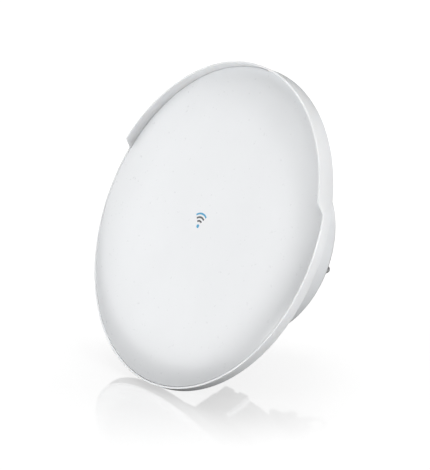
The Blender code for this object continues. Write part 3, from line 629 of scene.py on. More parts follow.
def radome():
    shares = [sin(pi / 2 * i / RADOME_STEPS) for i in range(RADOME_STEPS + 1)]
    edge = RADOME_EDGE_ROUNDING
    outer = [(s * (RADOME_RADIUS - edge), radome_depth(s * (RADOME_RADIUS - edge))) for s in shares]
    inner = [(s * RADOME_INSIDE, radome_depth(s * RADOME_INSIDE) + RADOME_WALL) for s in shares]
    slope = atan(RADOME_POWER * RADOME_RISE / RADOME_RADIUS)
    bend = arc(RADOME_RADIUS - edge, outer[-1][1] + edge, edge, pi - slope, pi / 2, 6)
    inside = RADOME_RADIUS - SKIRT_WALL
    end = FLANGE_DEPTH - GASKET_HEIGHT - 2 * GAP
    corners = [(RADOME_RADIUS, end), (inside, end), (inside, SKIRT_ROOT)]
    skirt = rounded(corners, [0.4 * MM, 0.4 * MM, 0], 3)
    cover = as_object("radome_shell", revolve(at_depth(outer + bend + skirt + inner[::-1])))
    settle(cover, "white_plastic", "head", "radome_cover")


def printed_mark():
    """A plain wave symbol, a dot under three arcs, printed at the radome's centre."""
    face = lip(radome_depth(0))
    for number, (inner, outer, ink) in enumerate(MARK_ARCS, 1):
        outline = arc(*MARK_CENTRE, outer * MM, -MARK_SPREAD, MARK_SPREAD, 28)
        outline += arc(*MARK_CENTRE, inner * MM, MARK_SPREAD, -MARK_SPREAD, 24)
        band = as_object(f"printed_arc_{number}", prism(outline, "Y", face - MARK_THICKNESS, face))
        settle(band, ink, "head")
    dot = as_object("printed_dot", rod("Y", MARK_CENTRE, MARK_DOT, face - MARK_THICKNESS, face))
    settle(dot, "blue_ink", "head")


def hood_reach(angle):
    """How far the shroud's edge stands in front of the lip at an angle from the dish's top."""
    share = min(1, max(0, (HOOD_FOOT_ANGLE - abs(angle)) / HOOD_RAMP_ANGLE))
    return HOOD_HEIGHT * share * share * (3 - 2 * share)


def shroud_angles():
    """Stations round the shroud: even ones, and close ones on the hood's two ramps."""
    step = TURN / SHROUD_STEPS
    start = HOOD_FOOT_ANGLE - HOOD_RAMP_ANGLE
    ramp = [start + HOOD_RAMP_ANGLE * i / RAMP_STEPS for i in range(RAMP_STEPS + 1)]
    even = [step * i - pi for i in range(SHROUD_STEPS)]
    clear = [a for a in even if not start - step / 3 < abs(a) < HOOD_FOOT_ANGLE + step / 3]
    return sorted(clear + ramp + [-a for a in ramp])


def shroud_section(angle):
    front = -hood_reach(angle)
    flare = HOOD_FLARE * abs(sin(angle)) * -front / HOOD_HEIGHT
    inside = RIM_RADIUS - RIM_WALL
    flange_front = RIM_DEPTH - RIM_FLANGE_THICKNESS
    corners = [
        (inside + flare, front),
        (RIM_RADIUS + flare, front),
        (RIM_RADIUS, 1.0 * MM),
        (RIM_RADIUS, RIM_DEPTH),
        (RIM_FLANGE_RADIUS, RIM_DEPTH),
        (RIM_FLANGE_RADIUS, flange_front),
        (inside, flange_front),
    ]
    radii = [r * MM for r in (0.9, 1.8, 0, 1.4, 0.6, 0.5, 0.5)]
    profile = rounded(corners, radii, 6)
    return [(r * sin(angle), lip(d), r * cos(angle)) for r, d in profile]


def rim_screw_places():
    return around(RIM_SCREW_COUNT, RIM_SCREW_RADIUS, RIM_SCREW_FIRST)


def shroud():
    sections = [shroud_section(angle) for angle in shroud_angles()]
    rim = as_object("rim_shroud", loft(sections, looped=True))
    cut(rim, [drill(place, RIM_SCREW_HOLE, 10 * MM, 16 * MM, 24) for place in rim_screw_places()])
    settle(rim, "rim_plastic", "head", "shroud")


def bowl_depth(radius):
    """Depth of the reflector's front face."""
    beyond = max(radius, FLAT_RADIUS) - FOCUS_RING_RADIUS
    edge = BOWL_RADIUS - FOCUS_RING_RADIUS
    return FLANGE_DEPTH + (edge**2 - beyond**2) / (4 * FOCAL_LENGTH)


def bowl_back(radius):
    """A point (radius, depth) on the reflector's rear face, one sheet thickness behind its front."""
    slope = (radius - FOCUS_RING_RADIUS) / (2 * FOCAL_LENGTH)
    scale = REFLECTOR_SHEET / hypot(1, slope)
    return (radius + slope * scale, bowl_depth(radius) + scale)


def reflector():
    flange_radius = RADOME_RADIUS - 0.1 * MM
    flange_back = FLANGE_DEPTH + REFLECTOR_SHEET
    hole = FEED_RADIUS + GAP
    span = BOWL_RADIUS - FLAT_RADIUS
    radii = [FLAT_RADIUS + span * i / REFLECTOR_STEPS for i in range(REFLECTOR_STEPS + 1)]
    profile = [(hole, bowl_depth(0))] + [(r, bowl_depth(r)) for r in radii]
    profile += [(flange_radius, FLANGE_DEPTH), (flange_radius, flange_back)]
    profile += [(BOWL_RADIUS + 0.6 * MM, flange_back)] + [bowl_back(r) for r in radii[-2:0:-1]]
    profile += [(r, bowl_depth(0) + REFLECTOR_SHEET) for r in (FLAT_RADIUS, hole)]
    dish = as_object("reflector_dish", revolve(at_depth(profile)))
    holes = [drill(place, RIM_SCREW_HOLE, 8 * MM, 12 * MM, 24) for place in rim_screw_places()]
    holes += [drill(place, BOSS_BORE, 94 * MM, 103 * MM, 24) for place in four_corners(BOSS_PLACE)]
    cut(dish, holes)
    settle(dish, "painted_aluminium", "head", "reflector")


# ---- fasteners


def pan_screw(name, place, seat, shank, reach):
    """A pan-head screw along Y with a cross recess, its head standing behind the seat."""
    head = 1.9 * shank
    height = 1.3 * shank
    angles = [radians(11.25 * i) for i in range(1, 9)]
    dome = [(head * sin(a), height * (0.25 + 0.75 * cos(a))) for a in angles]
    profile = [(0, height)] + dome + [(head, 0), (shank, 0), (shank, -reach), (0, -reach)]
    shape = revolve([(r, seat + y) for r, y in profile], 32, place)
    screw = as_object(name + "_fine", shape)
    top = seat + height
    levels = ((0.55, top - 0.62 * height), (1.05, top + 0.2 * MM))
    long, wide = 0.62 * head, 0.11 * head
    for turn in (radians(20), radians(110)):
        corners = [(long, wide), (-long, wide), (-long, -wide), (long, -wide)]
        ring = [(x * cos(turn) - z * sin(turn), x * sin(turn) + z * cos(turn)) for x, z in corners]
        rings = [[(place[0] + x * s, y, place[1] + z * s) for x, z in ring] for s, y in levels]
        cut(screw, [loft(rings)])
    settle(screw, "zinc_steel", "head", name)


def hex_ring(flats):
    """(radius, angle) pairs round a hexagon, at even angles from a corner."""
    pairs = []
    for i in range(HEX_STEPS):
        angle = TURN * i / HEX_STEPS
        off = (angle + pi / 6) % (pi / 3) - pi / 6
        pairs.append((flats / 2 / cos(pi / 6 - abs(off)), angle))
    return pairs


def hex_levels(flats, low, high, both):
    """Rings of (a, b, along) up a hexagon whose end faces are turned down to a circle."""
    circle = 0.955 * flats / 2
    pairs = hex_ring(flats)
    side = 1 if high > low else -1

    def ring(limit, along, sign):
        points = []
        for radius, angle in pairs:
            used = min(radius, limit) if limit else radius
            drop = 0 if limit else max(0, radius - circle) * tan(radians(30))
            points.append((used * sin(angle), used * cos(angle), along - sign * drop))
        return points

    rings = [ring(circle, low, 0), ring(None, low, -side)] if both else [ring(None, low, 0)]
    return rings + [ring(None, high, side), ring(circle, high, 0)]


def threaded_rings(shank, start, end, pitch, steps, coarse=10):
    """Rings of (a, b, along) along a rod with a helical thread, faded out at both ends."""
    count = max(4, round(abs(end - start) / pitch * coarse))
    depth = 0.54 * pitch
    rings = []
    for i in range(count + 1):
        along = start + (end - start) * i / count
        fade = min(1, (count - i) / (1.2 * coarse), i / (0.8 * coarse))
        points = []
        for k in range(steps):
            angle = TURN * k / steps
            phase = (abs(along - start) / pitch - angle / TURN) % 1.0
            groove = depth * (1 - abs(2 * phase - 1)) * max(0, fade)
            radius = shank - min(groove, 0.8 * depth) - (0.35 * pitch if i == count else 0)
            points.append((radius * sin(angle), radius * cos(angle), along))
        rings.append(points)
    return rings


def plain_ring(radius, along, steps=HEX_STEPS):
    return [(a, b, along) for a, b in arc(0, 0, radius, 0, TURN, steps)]


def stacked(rings, axis, centre, looped=False):
    """A skin through rings given as (a, b, along) about a centre line."""
    a0, b0 = centre
    placed = [[on_axis(axis, (a0 + a, b0 + b), along) for a, b, along in ring] for ring in rings]
    return loft(placed, looped)


def hex_bolt(name, centre, shank, flats, head_top, seat, end, pitch):
    """A hex bolt along X: a chamfered head on a washer face, a plain neck and a thread."""
    side = 1 if head_top > seat else -1
    face = seat + side * 0.25 * MM
    neck = seat - side * 6 * MM
    dish = head_top - side * 0.35 * MM
    rings = [plain_ring(0.28 * flats, dish), plain_ring(0.36 * flats, head_top)]
    rings += hex_levels(flats, face, head_top, False)[::-1]
    rings += [plain_ring(0.46 * flats, face), plain_ring(0.46 * flats, seat)]
    rings += [plain_ring(shank, seat)]
    rings += threaded_rings(shank, neck, end, pitch, HEX_STEPS)
    bolt = as_object(name + "_fine", stacked(rings, "X", centre))
    settle(bolt, "zinc_steel", "head", name)


def hex_nut(name, axis, centre, shank, flats, low, high, body, place=HEAD):
    bore = shank + GAP
    side = 1 if high > low else -1
    lead = 0.5 * MM
    rings = hex_levels(flats, low, high, True)
    rings += [plain_ring(bore + lead, high), plain_ring(bore, high - side * lead)]
    rings += [plain_ring(bore, low + side * lead), plain_ring(bore + lead, low)]
    nut = as_object(name + "_fine", stacked(rings, axis, centre, looped=True))
    settle(nut, "zinc_steel", body, name, place)


def rim_screws():
    seat = lip(RIM_DEPTH + GAP)
    for number, place in enumerate(rim_screw_places(), 1):
        pan_screw(f"rim_screw_{number}", place, seat, 1.5 * MM, 10.9 * MM)


def bracket_screws():
    seat = lip(HUB_BACK_DEPTH) + GAP + TILT_EAR_SHEET + GAP
    for number, place in enumerate(four_corners(BOSS_PLACE), 1):
        pan_screw(f"bracket_screw_{number}", place, seat, 2.0 * MM, 15 * MM)


def elevation_bolts():
    yoke_outside = TILT_EAR_INSIDE + TILT_EAR_SHEET + 2 * GAP + YOKE_SHEET
    kinds = (
        ("pivot", PIVOT_BOLT_RADIUS, 0, 10 * MM, 5 * MM, 1.0 * MM),
        ("lock", LOCK_BOLT_RADIUS, LOCK_ARC_RADIUS, 8 * MM, 4.5 * MM, 0.8 * MM),
    )
    for side, word in ((-1, "left"), (1, "right")):
        seat = side * (yoke_outside + GAP)
        nut_seat = side * (TILT_EAR_INSIDE - GAP)
        for kind, shank, z, flats, nut, pitch in kinds:
            head_top = seat + side * 1.3 * shank
            end = nut_seat - side * (nut + MM)
            hex_bolt(f"{kind}_bolt_{word}", (0, z), shank, flats, head_top, seat, end, pitch)
            low = nut_seat - side * nut
            hex_nut(f"{kind}_nut_{word}", "X", (0, z), shank, flats, low, nut_seat, "head")


# ---- rear hub


def hinge_line():
    """The (y, z) of the port door's hinge, just in front of the bay."""
    return (lip(BAY_FRONT_DEPTH - 2.6 * MM), -BAY_BOTTOM - 2.2 * MM)


def hinge_bore():
    return rod("X", hinge_line(), DOOR_PIN_RADIUS + GAP, -DOOR_PIN_HALF, DOOR_PIN_HALF, 32)


def knuckle(centre_x, half_width):
    y, z = hinge_line()
    outline = arc(y, z, KNUCKLE_RADIUS, radians(90), radians(270), 20)
    outline += [(y - KNUCKLE_RADIUS, z + 6 * MM), (y + KNUCKLE_RADIUS + 0.8 * MM, z + 6 * MM)]
    return prism(outline, "X", centre_x - half_width, centre_x + half_width)


def hub_profile():
    """A drum with a rounded back edge and a shallow groove round the bracket."""
    inside = HUB_BACK_DEPTH - HUB_WALL
    groove = HUB_BACK_DEPTH - 0.5 * MM
    corners = [
        (HUB_FRONT_RADIUS, HUB_FRONT_DEPTH),
        (HUB_RADIUS, HUB_BACK_DEPTH),
        (70 * MM, HUB_BACK_DEPTH),
        (69.4 * MM, groove),
        (68.0 * MM, groove),
        (67.4 * MM, HUB_BACK_DEPTH),
        (0, HUB_BACK_DEPTH),
        (0, inside),
        (HUB_RADIUS - HUB_WALL, inside),
        (HUB_FRONT_RADIUS - HUB_WALL, HUB_FRONT_DEPTH),
    ]
    edge = HUB_EDGE_ROUNDING
    radii = [0.5 * MM, edge, *[0.3 * MM] * 4, 0, 0, edge / 2, 0.4 * MM]
    return at_depth(rounded(corners, radii, 10))


def hub():
    body = as_object("hub_shell", revolve(hub_profile()))
    front, back = lip(BAY_FRONT_DEPTH), lip(BAY_BACK_DEPTH)
    bottom = -BAY_BOTTOM
    side, wall = BAY_HALF_WIDTH, BAY_WALL
    bay = soft_box((-side, front, bottom), (side, back, -124 * MM), 3 * MM, "Z", 8)
    combine(body, "UNION", [bay])
    opening = ((wall - side, front + wall, bottom - MM), (side - wall, back - wall, -BAY_CEILING))
    cut(body, [soft_box(*opening, 1.5 * MM, "Z")])
    plug = box((-6.5 * MM, lip(109.4 * MM), bottom), (6.5 * MM, lip(120.8 * MM), -121 * MM))
    cut(body, [plug, rod("Z", (BUTTON_SIDE, lip(BUTTON_DEPTH)), BUTTON_HOLE, bottom, -121 * MM)])
    combine(body, "UNION", [knuckle(x * 23.6 * MM, 3.2 * MM) for x in (-1, 1)])
    boss_front = bowl_depth(0) + REFLECTOR_SHEET + GAP
    boss_back = HUB_BACK_DEPTH - HUB_WALL / 2
    places = four_corners(BOSS_PLACE)
    combine(body, "UNION", [drill(place, BOSS_RADIUS, boss_front, boss_back) for place in places])
    cuts = [drill(place, BOSS_BORE, 98 * MM, 131 * MM) for place in places]
    cuts += [drill((x, LED_LINE), LED_HOLE, *HUB_BACK_CUT) for x in LED_SIDES]
    cuts += [drill(VENT_PLACE, VENT_HOLE, *HUB_BACK_CUT, SMALL_STEPS)]
    cuts += [drill(GROUND_PLACE, BOSS_BORE, *HUB_BACK_CUT), hinge_bore()]
    cut(body, cuts)
    settle(body, "white_plastic", "head", "hub_housing")


def light_pipe():
    low, high = (-16 * MM, lip(118 * MM), -86.5 * MM), (16 * MM, lip(121 * MM), -83.5 * MM)
    pipe = as_object("light_pipe_fine", soft_box(low, high, 0.5 * MM))
    top = lip(HUB_BACK_DEPTH + 0.4 * MM)
    domed = ((0, 0), (0.7, 0.05), (1.1, 0.25), (1.2, 0.6))
    profile = [(r * MM, top - drop * MM) for r, drop in domed]
    profile += [(1.2 * MM, lip(119.5 * MM)), (0, lip(119.5 * MM))]
    combine(pipe, "UNION", [revolve(profile, 28, (x, LED_LINE)) for x in LED_SIDES])
    settle(pipe, "clear_plastic", "head", "light_pipe")


def vent_plug():
    """A breather cap with side slots under its rim."""
    seat = lip(HUB_BACK_DEPTH + GAP)
    corners = [(4.6, 0), (6.5, 0), (6.5, 1.6), (0, 1.6), (0, -5), (4.6, -5)]
    radii = [0, 0.1 * MM, 0.8 * MM, 0, 0, 0.5 * MM]
    profile = rounded([(r * MM, seat + y * MM) for r, y in corners], radii, 5)
    cap = as_object("vent_plug_fine", revolve(profile, SMALL_STEPS, VENT_PLACE))
    half = 0.5 * MM
    slots = []
    for x, z in arc(*VENT_PLACE, 5.6 * MM, 0, TURN, 8):
        slots.append(box((x - half, seat + 0.9 * MM, z - half), (x + half, seat + 2 * MM, z + half)))
    cut(cap, slots)
    settle(cap, "grey_plastic", "head", "vent_plug")


def ground_terminal():
    x, z = GROUND_PLACE
    seat = lip(HUB_BACK_DEPTH + GAP)
    bore, radius, top = 2.4 * MM, 6 * MM, seat + 1.2 * MM
    corners = [(bore, seat), (radius, seat), (radius, top), (bore, top)]
    washer = as_object("ground_washer_fine", revolve(rounded(corners, 0.25 * MM, 3), 64, (x, z)))
    settle(washer, "zinc_steel", "head", "ground_washer")
    pan_screw("ground_screw", (x, z), top + GAP, 2.0 * MM, 9 * MM)


# ---- port door


def port_door():
    y, z = hinge_line()
    far = lip(BAY_BACK_DEPTH) + MM
    near = y + 3.6 * MM
    side = BAY_HALF_WIDTH
    panel = soft_box((-side, near, DOOR_BOTTOM), (side, far, DOOR_TOP), 3 * MM, "Z", 8)
    door = as_object("port_door_fine", panel)
    barrel = arc(y, z, DOOR_BARREL_RADIUS, radians(180), radians(360), 20)
    barrel += [(y + DOOR_BARREL_RADIUS, z + 0.6 * MM)]
    barrel += [(near + 4 * MM, DOOR_TOP - 0.3 * MM), (near + 4 * MM, DOOR_BOTTOM + 0.3 * MM)]
    combine(door, "UNION", [prism(barrel, "X", -20 * MM, 20 * MM)])
    cut(door, [hinge_bore()])
    notch = arc(0, lip(CABLE_DEPTH), CABLE_NOTCH, radians(90), radians(270), 32)
    notch += [(-CABLE_NOTCH, far + MM), (CABLE_NOTCH, far + MM)]
    cut(door, [prism(notch, "Z", DOOR_BOTTOM - MM, DOOR_TOP + MM)])
    half = 0.6 * MM
    grips = []
    for x in (s * (14 + 2.4 * i) * MM for s in (-1, 1) for i in range(4)):
        low = (x - half, far - 9 * MM, DOOR_BOTTOM - MM)
        grips.append(soft_box(low, (x + half, far - 3 * MM, DOOR_BOTTOM + 0.4 * MM), 0.5 * MM, "Z"))
    cut(door, grips)
    soften(door, 0.25 * MM, 2)
    settle(door, "white_plastic", "port_door", "port_door")


def cable_grommet():
    """A rubber ring in the door's notch, flanged above and below the door."""
    above = [(3.0, 1.1, 0.3), (7.6, 1.1, 0.3), (7.6, 0.3, 0.3), (6.0, 0.3, 0)]
    below = [(6.0, 0.3, 0), (7.6, 0.3, 0.3), (7.6, 1.5, 0.4), (3.0, 1.5, 0.4)]
    corners = [(r * MM, DOOR_TOP + z * MM) for r, z, _ in above]
    corners += [(r * MM, DOOR_BOTTOM - z * MM) for r, z, _ in below]
    profile = rounded(corners, [rounding * MM for _, _, rounding in above + below], 4)
    centre = lip(CABLE_DEPTH)
    circles = [(arc(0, centre, radius, 0, TURN, 56), z) for radius, z in profile]
    rings = [[on_axis("Z", place, z) for place in circle] for circle, z in circles]
    ring = as_object("cable_grommet_fine", loft(rings, looped=True))
    settle(ring, "dark_rubber", "port_door", "cable_grommet")


# ---- brackets


def bent_channel(inside, sheet, front, back, web_at_back, half_height):
    """A sheet bent to a U in plan, standing along Z: two ears at +-inside and a web at one end."""
    outside = inside + sheet
    ends, web = (front, back) if web_at_back else (back, front)
    inner_web = web - sheet if web_at_back else web + sheet
    corners = [(outside, ends), (outside, web), (-outside, web), (-outside, ends)]
    corners += [(-inside, ends), (-inside, inner_web), (inside, inner_web), (inside, ends)]
    bend = 1.0 * MM + sheet
    outline = rounded(corners, [0, bend, bend, 0, 0, 1.0 * MM, 1.0 * MM, 0], 8)
    return prism(outline, "Z", -half_height, half_height)


def bracket_bolt_holes(pivot, bolts):
    """Cores along X through both ears, each bolt given as (z, radius)."""
    return [rod("X", (pivot, z), radius + GAP, -BRACKET_REACH, BRACKET_REACH) for z, radius in bolts]


def tilt_bracket():
    """The channel on the hub's back: its ears carry the pivot bolts and the lock bolts."""
    base = lip(HUB_BACK_DEPTH) + GAP
    channel = bent_channel(TILT_EAR_INSIDE, TILT_EAR_SHEET, base, 16 * MM, False, 50 * MM)
    bracket = as_object("tilt_bracket_fine", channel)
    half = TILT_PLATE_HALF_HEIGHT
    side = [(base - 2 * MM, half), (base + 4 * MM, half)]
    side += arc(0, LOCK_ARC_RADIUS, 6.3 * MM, radians(-25), radians(85), 20)
    side += arc(0, 0, 12 * MM, radians(85), radians(165), 20)
    side += [(base + 4 * MM, -half), (base - 2 * MM, -half)]
    combine(bracket, "INTERSECT", [prism(side, "X", -BRACKET_REACH, BRACKET_REACH)])
    holes = bracket_bolt_holes(0, ((0, PIVOT_BOLT_RADIUS), (LOCK_ARC_RADIUS, LOCK_BOLT_RADIUS)))
    places = four_corners(BOSS_PLACE)
    holes += [rod("Y", place, 2.8 * MM, base - MM, base + 5 * MM, 32) for place in places]
    cut(bracket, holes)
    soften(bracket, 0.35 * MM)
    settle(bracket, "white_paint", "head", "tilt_bracket")


def yoke_side_outline(pivot):
    """Side view (y, z) of the pole bracket: a tall web, and ears forward round the pivot."""
    web_front = pivot + 10 * MM
    beyond = 3 * MM
    outer = LOCK_ARC_RADIUS + 8 * MM
    outline = [(beyond, YOKE_HALF_HEIGHT), (web_front, YOKE_HALF_HEIGHT)]
    outline += arc(pivot, 0, outer, radians(15), radians(-43), 24)
    outline += arc(pivot, 0, 13 * MM, radians(-78), radians(-150), 20)
    outline += [(web_front, -28 * MM), (web_front, -YOKE_HALF_HEIGHT), (beyond, -YOKE_HALF_HEIGHT)]
    return outline


def saddle(z):
    """A flange behind the web with a toothed right-angled notch that grips the pole."""
    depth = SADDLE_LENGTH - SADDLE_APEX
    step = depth / SADDLE_TEETH
    edge = []
    for i in range(SADDLE_TEETH):
        x = depth - step * i
        tip_x, tip_y = x - (step + SADDLE_TOOTH) / 2, x - (step - SADDLE_TOOTH) / 2
        edge += [(x, SADDLE_APEX + x), (tip_x, SADDLE_APEX + tip_y)]
    right = [(SADDLE_LENGTH + 9 * MM, -1.5 * MM), (SADDLE_LENGTH + 5 * MM, SADDLE_LENGTH)] + edge
    left = [(-x, y) for x, y in right[::-1]]
    return prism(right + [(0, SADDLE_APEX)] + left, "Z", z - YOKE_SHEET / 2, z + YOKE_SHEET / 2)


def lock_slot(pivot):
    """The curved slot for the lock bolts, as a (y, z) outline."""
    half = LOCK_BOLT_RADIUS + GAP
    end = TILT_RANGE + radians(0.5)
    outline = arc(pivot, 0, LOCK_ARC_RADIUS + half, -end, end, 24)
    y, z = pivot + LOCK_ARC_RADIUS * sin(end), LOCK_ARC_RADIUS * cos(end)
    outline += arc(y, z, half, end + radians(15), end + radians(165), 10)
    outline += arc(pivot, 0, LOCK_ARC_RADIUS - half, end, -end, 24)
    outline += arc(2 * pivot - y, z, half, -end + radians(195), -end + radians(345), 10)
    return outline


def pole_bracket():
    pivot = PIVOT.y
    inside = TILT_EAR_INSIDE + TILT_EAR_SHEET + 2 * GAP
    channel = bent_channel(inside, YOKE_SHEET, pivot - 25 * MM, 0, True, 50 * MM)
    bracket = as_object("pole_bracket_fine", channel)
    side = prism(yoke_side_outline(pivot), "X", -BRACKET_REACH, BRACKET_REACH)
    combine(bracket, "INTERSECT", [side])
    level = YOKE_HALF_HEIGHT - 2 * MM
    combine(bracket, "UNION", [saddle(-level), saddle(level)])
    cuts = bracket_bolt_holes(pivot, ((0, PIVOT_BOLT_RADIUS),))
    cuts += [prism(lock_slot(pivot), "X", -BRACKET_REACH, BRACKET_REACH)]
    places = four_corners((U_BOLT_BEND, U_BOLT_HEIGHT))
    cuts += [rod("Y", place, U_BOLT_WIRE + 0.4 * MM, -6 * MM, 3 * MM, 32) for place in places]
    cut(bracket, cuts)
    soften(bracket, 0.35 * MM)
    settle(bracket, "white_paint", "pole_bracket", "pole_bracket", WORLD)


def u_bolt(name, z):
    """A round rod with threaded legs: leg, half turn round the pole's far side, leg."""
    legs = threaded_rings(U_BOLT_WIRE, 6 * MM, U_BOLT_TIP, 0.8 * MM, THREAD_STEPS)
    left = [[(-U_BOLT_BEND + a, along, z + b) for a, b, along in ring] for ring in legs[::-1]]
    right = [[(U_BOLT_BEND - a, along, z + b) for a, b, along in ring] for ring in legs]
    bend = []
    for x, y in arc(0, 0, 1.0, radians(-90), radians(90), 56):
        out = Vector((x, y, 0))
        centre = out * U_BOLT_BEND + Vector((0, U_BOLT_CENTRE, z))
        section = arc(0, 0, U_BOLT_WIRE, 0, TURN, THREAD_STEPS)
        bend.append([centre - out * a + Vector((0, 0, b)) for a, b in section])
    wire = as_object(name + "_fine", loft(left + bend + right))
    settle(wire, "zinc_steel", name, name, WORLD)


def pole_clamp():
    front = -YOKE_SHEET - GAP
    for word, z in (("upper", U_BOLT_HEIGHT), ("lower", -U_BOLT_HEIGHT)):
        u_bolt(f"u_bolt_{word}", z)
        for side, hand in ((-1, "left"), (1, "right")):
            nut = f"u_bolt_nut_{word}_{hand}"
            sizes = (U_BOLT_WIRE, U_BOLT_NUT_FLATS, front - U_BOLT_NUT_HEIGHT, front)
            hex_nut(nut, "Y", (side * U_BOLT_BEND, z), *sizes, "pole_bracket", WORLD)


# ---- stage

FLOOR_HALF_SIDE = 12
FLOOR_MIRROR = 0.42
FLOOR_MIRROR_REACH = 0.30
FLOOR_MIRROR_BLUR = 0.05
FLOOR_GLOW = (0.87, 1.05)
FLOOR_GLOW_REACH = (0.45, 1.3)
FLOOR_SHADE = 0.2
FLOOR_BOUNCE = 0.04
BACKDROP_RADIUS = 9.0
LIGHT_DISTANCE = 2.2
LIGHT_TARGET = Vector((0, -0.12, 0.05))
# Soft boxes: azimuth and elevation seen from the object in degrees, side in metres, power in watts
RADOME_LIGHTS = (
    (0, 1, 0.5, 13.3),
    (-30, 12, 1.2, 11.2),
    (-45, 12, 1.2, 5.4),
    (-60, 12, 1.2, 5.3),
    (-90, 12, 1.2, 3.6),
    (0, 42, 1.2, 3.4),
    (-30, 42, 1.2, 6.3),
    (-60, 42, 1.2, 1.4),
    (90, 42, 1.2, 6.7),
    (-120, 42, 1.2, 4.0),
    (60, 70, 1.2, 3.7),
    (-120, 70, 1.2, 8.0),
    (150, 70, 1.2, 8.0),
)
BODY_LIGHTS = (
    (-30, 1, 0.5, 20.0),
    (30, 1, 0.5, 9.3),
    (60, 1, 0.5, 4.0),
    (90, 1, 0.5, 20.8),
    (120, 1, 0.5, 6.9),
    (0, 12, 1.2, 17.3),
    (120, 12, 1.2, 8.0),
    (180, 12, 1.2, 5.2),
    (-120, 42, 1.2, 8.0),
    (-30, 70, 1.2, 8.0),
    (-120, 70, 1.2, 16.0),
    (150, 70, 1.2, 8.0),
)
CAMERA_AZIMUTH = radians(53.293)
CAMERA_ELEVATION = radians(15.848)
CAMERA_ROLL = radians(0.174)
CAMERA_DISTANCE = 3.5
CAMERA_SHIFT = (0.02106, -0.02234)
SENSOR = 36.0
PICTURE_HEIGHT = 470.0
PIXELS_PER_METRE = 731.5


def floor():
    """A pale floor that stays under the rim at any tilt."""
    lowest_y = lip(RIM_DEPTH)
    plane = bmesh.new()
    bmesh.ops.create_grid(plane, x_segments=24, y_segments=24, size=FLOOR_HALF_SIDE)
    obj = as_object("floor", plane)
    height = obj.driver_add("location", 2).driver
    variable = height.variables.new()
    variable.name = "turn"
    variable.type = "TRANSFORMS"
    variable.targets[0].id = frame["bodies"]["head"]
    variable.targets[0].transform_type = "ROT_X"
    variable.targets[0].transform_space = "WORLD_SPACE"
    front, back = PIVOT_TO_LIP, -lowest_y
    sine, cosine = (f"{name}({TILT_UP:.6f} - turn)" for name in ("sin", "cos"))
    at_rest = CAD_BOX[0].z - 0.15 * MM
    offset = at_rest - (back * sin(TILT_UP) - RIM_RADIUS * cos(TILT_UP))
    lowest = f"min({back:.6f} * {sine}, {front:.6f} * {sine}) - {RIM_RADIUS:.6f} * {cosine}"
    height.expression = f"{lowest} + {offset:.6f}"
    obj.data.materials.append(floor_look(HEAD @ Vector((0, lowest_y, -RIM_RADIUS))))
    backdrop(obj)


def floor_look(contact):
    """White to the camera, with soft shading and a mirror image that fades from the contact."""
    look = Look("pale_floor")
    look.nodes.remove(look.shader)
    away = look.nodes.new("ShaderNodeVectorMath")
    away.operation = "DISTANCE"
    look.put(away.inputs[0], look.position)
    look.put(away.inputs[1], (contact.x, contact.y, 0))
    distance = away.outputs["Value"]
    grain = look.tone(40, 3, 0.5, 0.99 * FLOOR_SHADE, FLOOR_SHADE)
    parts = (
        look.node("BsdfDiffuse", Color=look.mix(grain, (0, 0, 0), (1, 1, 1))),
        look.node("Emission", Strength=look.ramp(distance, *FLOOR_GLOW_REACH, *FLOOR_GLOW)),
    )
    lit = look.node("AddShader")
    for socket, part in zip(lit.inputs, parts):
        look.put(socket, part.outputs[0])
    mirror = look.node("BsdfGlossy", Roughness=FLOOR_MIRROR_BLUR)
    share = look.ramp(distance, 0.0, FLOOR_MIRROR_REACH, FLOOR_MIRROR, 0.0)
    seen = look.blend_shaders(share, lit, mirror)
    bounce = look.node("BsdfDiffuse", Color=(FLOOR_BOUNCE,) * 3)
    either = look.blend_shaders(look.node("LightPath").outputs["Is Camera Ray"], bounce, seen)
    from_below = look.node("NewGeometry").outputs["Backfacing"]
    whole = look.blend_shaders(from_below, either, look.node("BsdfTransparent"))
    look.put(look.nodes["Material Output"].inputs["Surface"], whole.outputs[0])
    return look.material


def backdrop(seen_by):
    """A white surround that only the floor's mirror image sees."""
    sphere = bmesh.new()
    bmesh.ops.create_uvsphere(sphere, u_segments=32, v_segments=16, radius=BACKDROP_RADIUS)
    obj = as_object("backdrop", sphere)
    look = Look("backdrop").set(base_color=(0, 0, 0), emission_color=(1, 1, 1), emission_strength=1.0)
    obj.data.materials.append(look.material)
    obj.visible_camera = obj.visible_diffuse = obj.visible_shadow = False
    obj.light_linking.receiver_collection = receivers("backdrop_light", [seen_by])


def receivers(name, objects, state="INCLUDE"):
    """A collection that limits a light to these objects, or keeps it off them."""
    group = bpy.data.collections.new(name)
    for obj in objects:
        group.objects.link(obj)
    for member in group.collection_objects:
        member.light_linking.link_state = state
    return group


def from_angles(azimuth, elevation):
    """The direction out from the object at an azimuth from -Y towards +X, and an elevation."""
    level = cos(elevation)
    return Vector((sin(azimuth) * level, -cos(azimuth) * level, sin(elevation)))


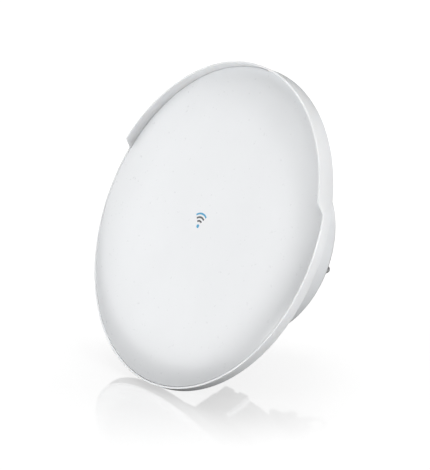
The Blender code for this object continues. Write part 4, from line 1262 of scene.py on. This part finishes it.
def soft_boxes(settings, lit):
    for azimuth, elevation, size, power in settings:
        name = f"{lit.name}_{azimuth}_{elevation}"
        light = bpy.data.lights.new(name, "AREA")
        light.shape = "SQUARE"
        light.size = size
        light.energy = power
        obj = bpy.data.objects.new(name, light)
        bpy.context.scene.collection.objects.link(obj)
        out = from_angles(radians(azimuth), radians(elevation))
        obj.location = LIGHT_TARGET + out * LIGHT_DISTANCE
        obj.rotation_euler = out.to_track_quat("Z", "Y").to_euler()
        obj.visible_camera = False
        obj.light_linking.receiver_collection = lit


def lights():
    """A set of soft boxes for the radome, a set for all else, and a world only the camera sees."""
    face = [obj for obj in bpy.data.objects if obj.name.startswith(("radome_shell", "printed_"))]
    soft_boxes(RADOME_LIGHTS, receivers("radome_light", face))
    soft_boxes(BODY_LIGHTS, receivers("body_light", face, "EXCLUDE"))
    world = bpy.data.worlds.new("studio")
    bpy.context.scene.world = world
    world.use_nodes = True
    tree = world.node_tree
    white = tree.nodes["Background"]
    white.inputs["Color"].default_value = (1, 1, 1, 1)
    seen = tree.nodes.new("ShaderNodeLightPath").outputs["Is Camera Ray"]
    tree.links.new(seen, white.inputs["Strength"])


def camera():
    data = bpy.data.cameras.new("view")
    obj = bpy.data.objects.new("view", data)
    bpy.context.scene.collection.objects.link(obj)
    out = from_angles(CAMERA_AZIMUTH, CAMERA_ELEVATION)
    obj.location = HEAD @ Vector((0, lip(0), 0)) + out * CAMERA_DISTANCE
    turn = out.to_track_quat("Z", "Y").to_matrix() @ Matrix.Rotation(CAMERA_ROLL, 3, "Z")
    obj.rotation_euler = turn.to_euler()
    data.sensor_fit = "VERTICAL"
    data.sensor_height = data.sensor_width = SENSOR
    data.lens = PIXELS_PER_METRE * CAMERA_DISTANCE / PICTURE_HEIGHT * SENSOR
    data.shift_x, data.shift_y = CAMERA_SHIFT
    bpy.context.scene.camera = obj


# ---- assembly


def carried_over():
    """Gives each CAD node that still shows the material of its slot."""
    slots = {row["node"]: row["material_slot"] for row in frame["record"]["subparts"]}
    for name, node in frame["nodes"].items():
        dress(node, slots[name])


def build():
    carried_over()
    radome()
    printed_mark()
    shroud()
    rim_screws()
    reflector()
    hub()
    light_pipe()
    vent_plug()
    ground_terminal()
    port_door()
    cable_grommet()
    tilt_bracket()
    bracket_screws()
    elevation_bolts()
    pole_bracket()
    pole_clamp()
    floor()
    lights()
    camera()
    bpy.context.scene.view_settings.view_transform = "Standard"


build()
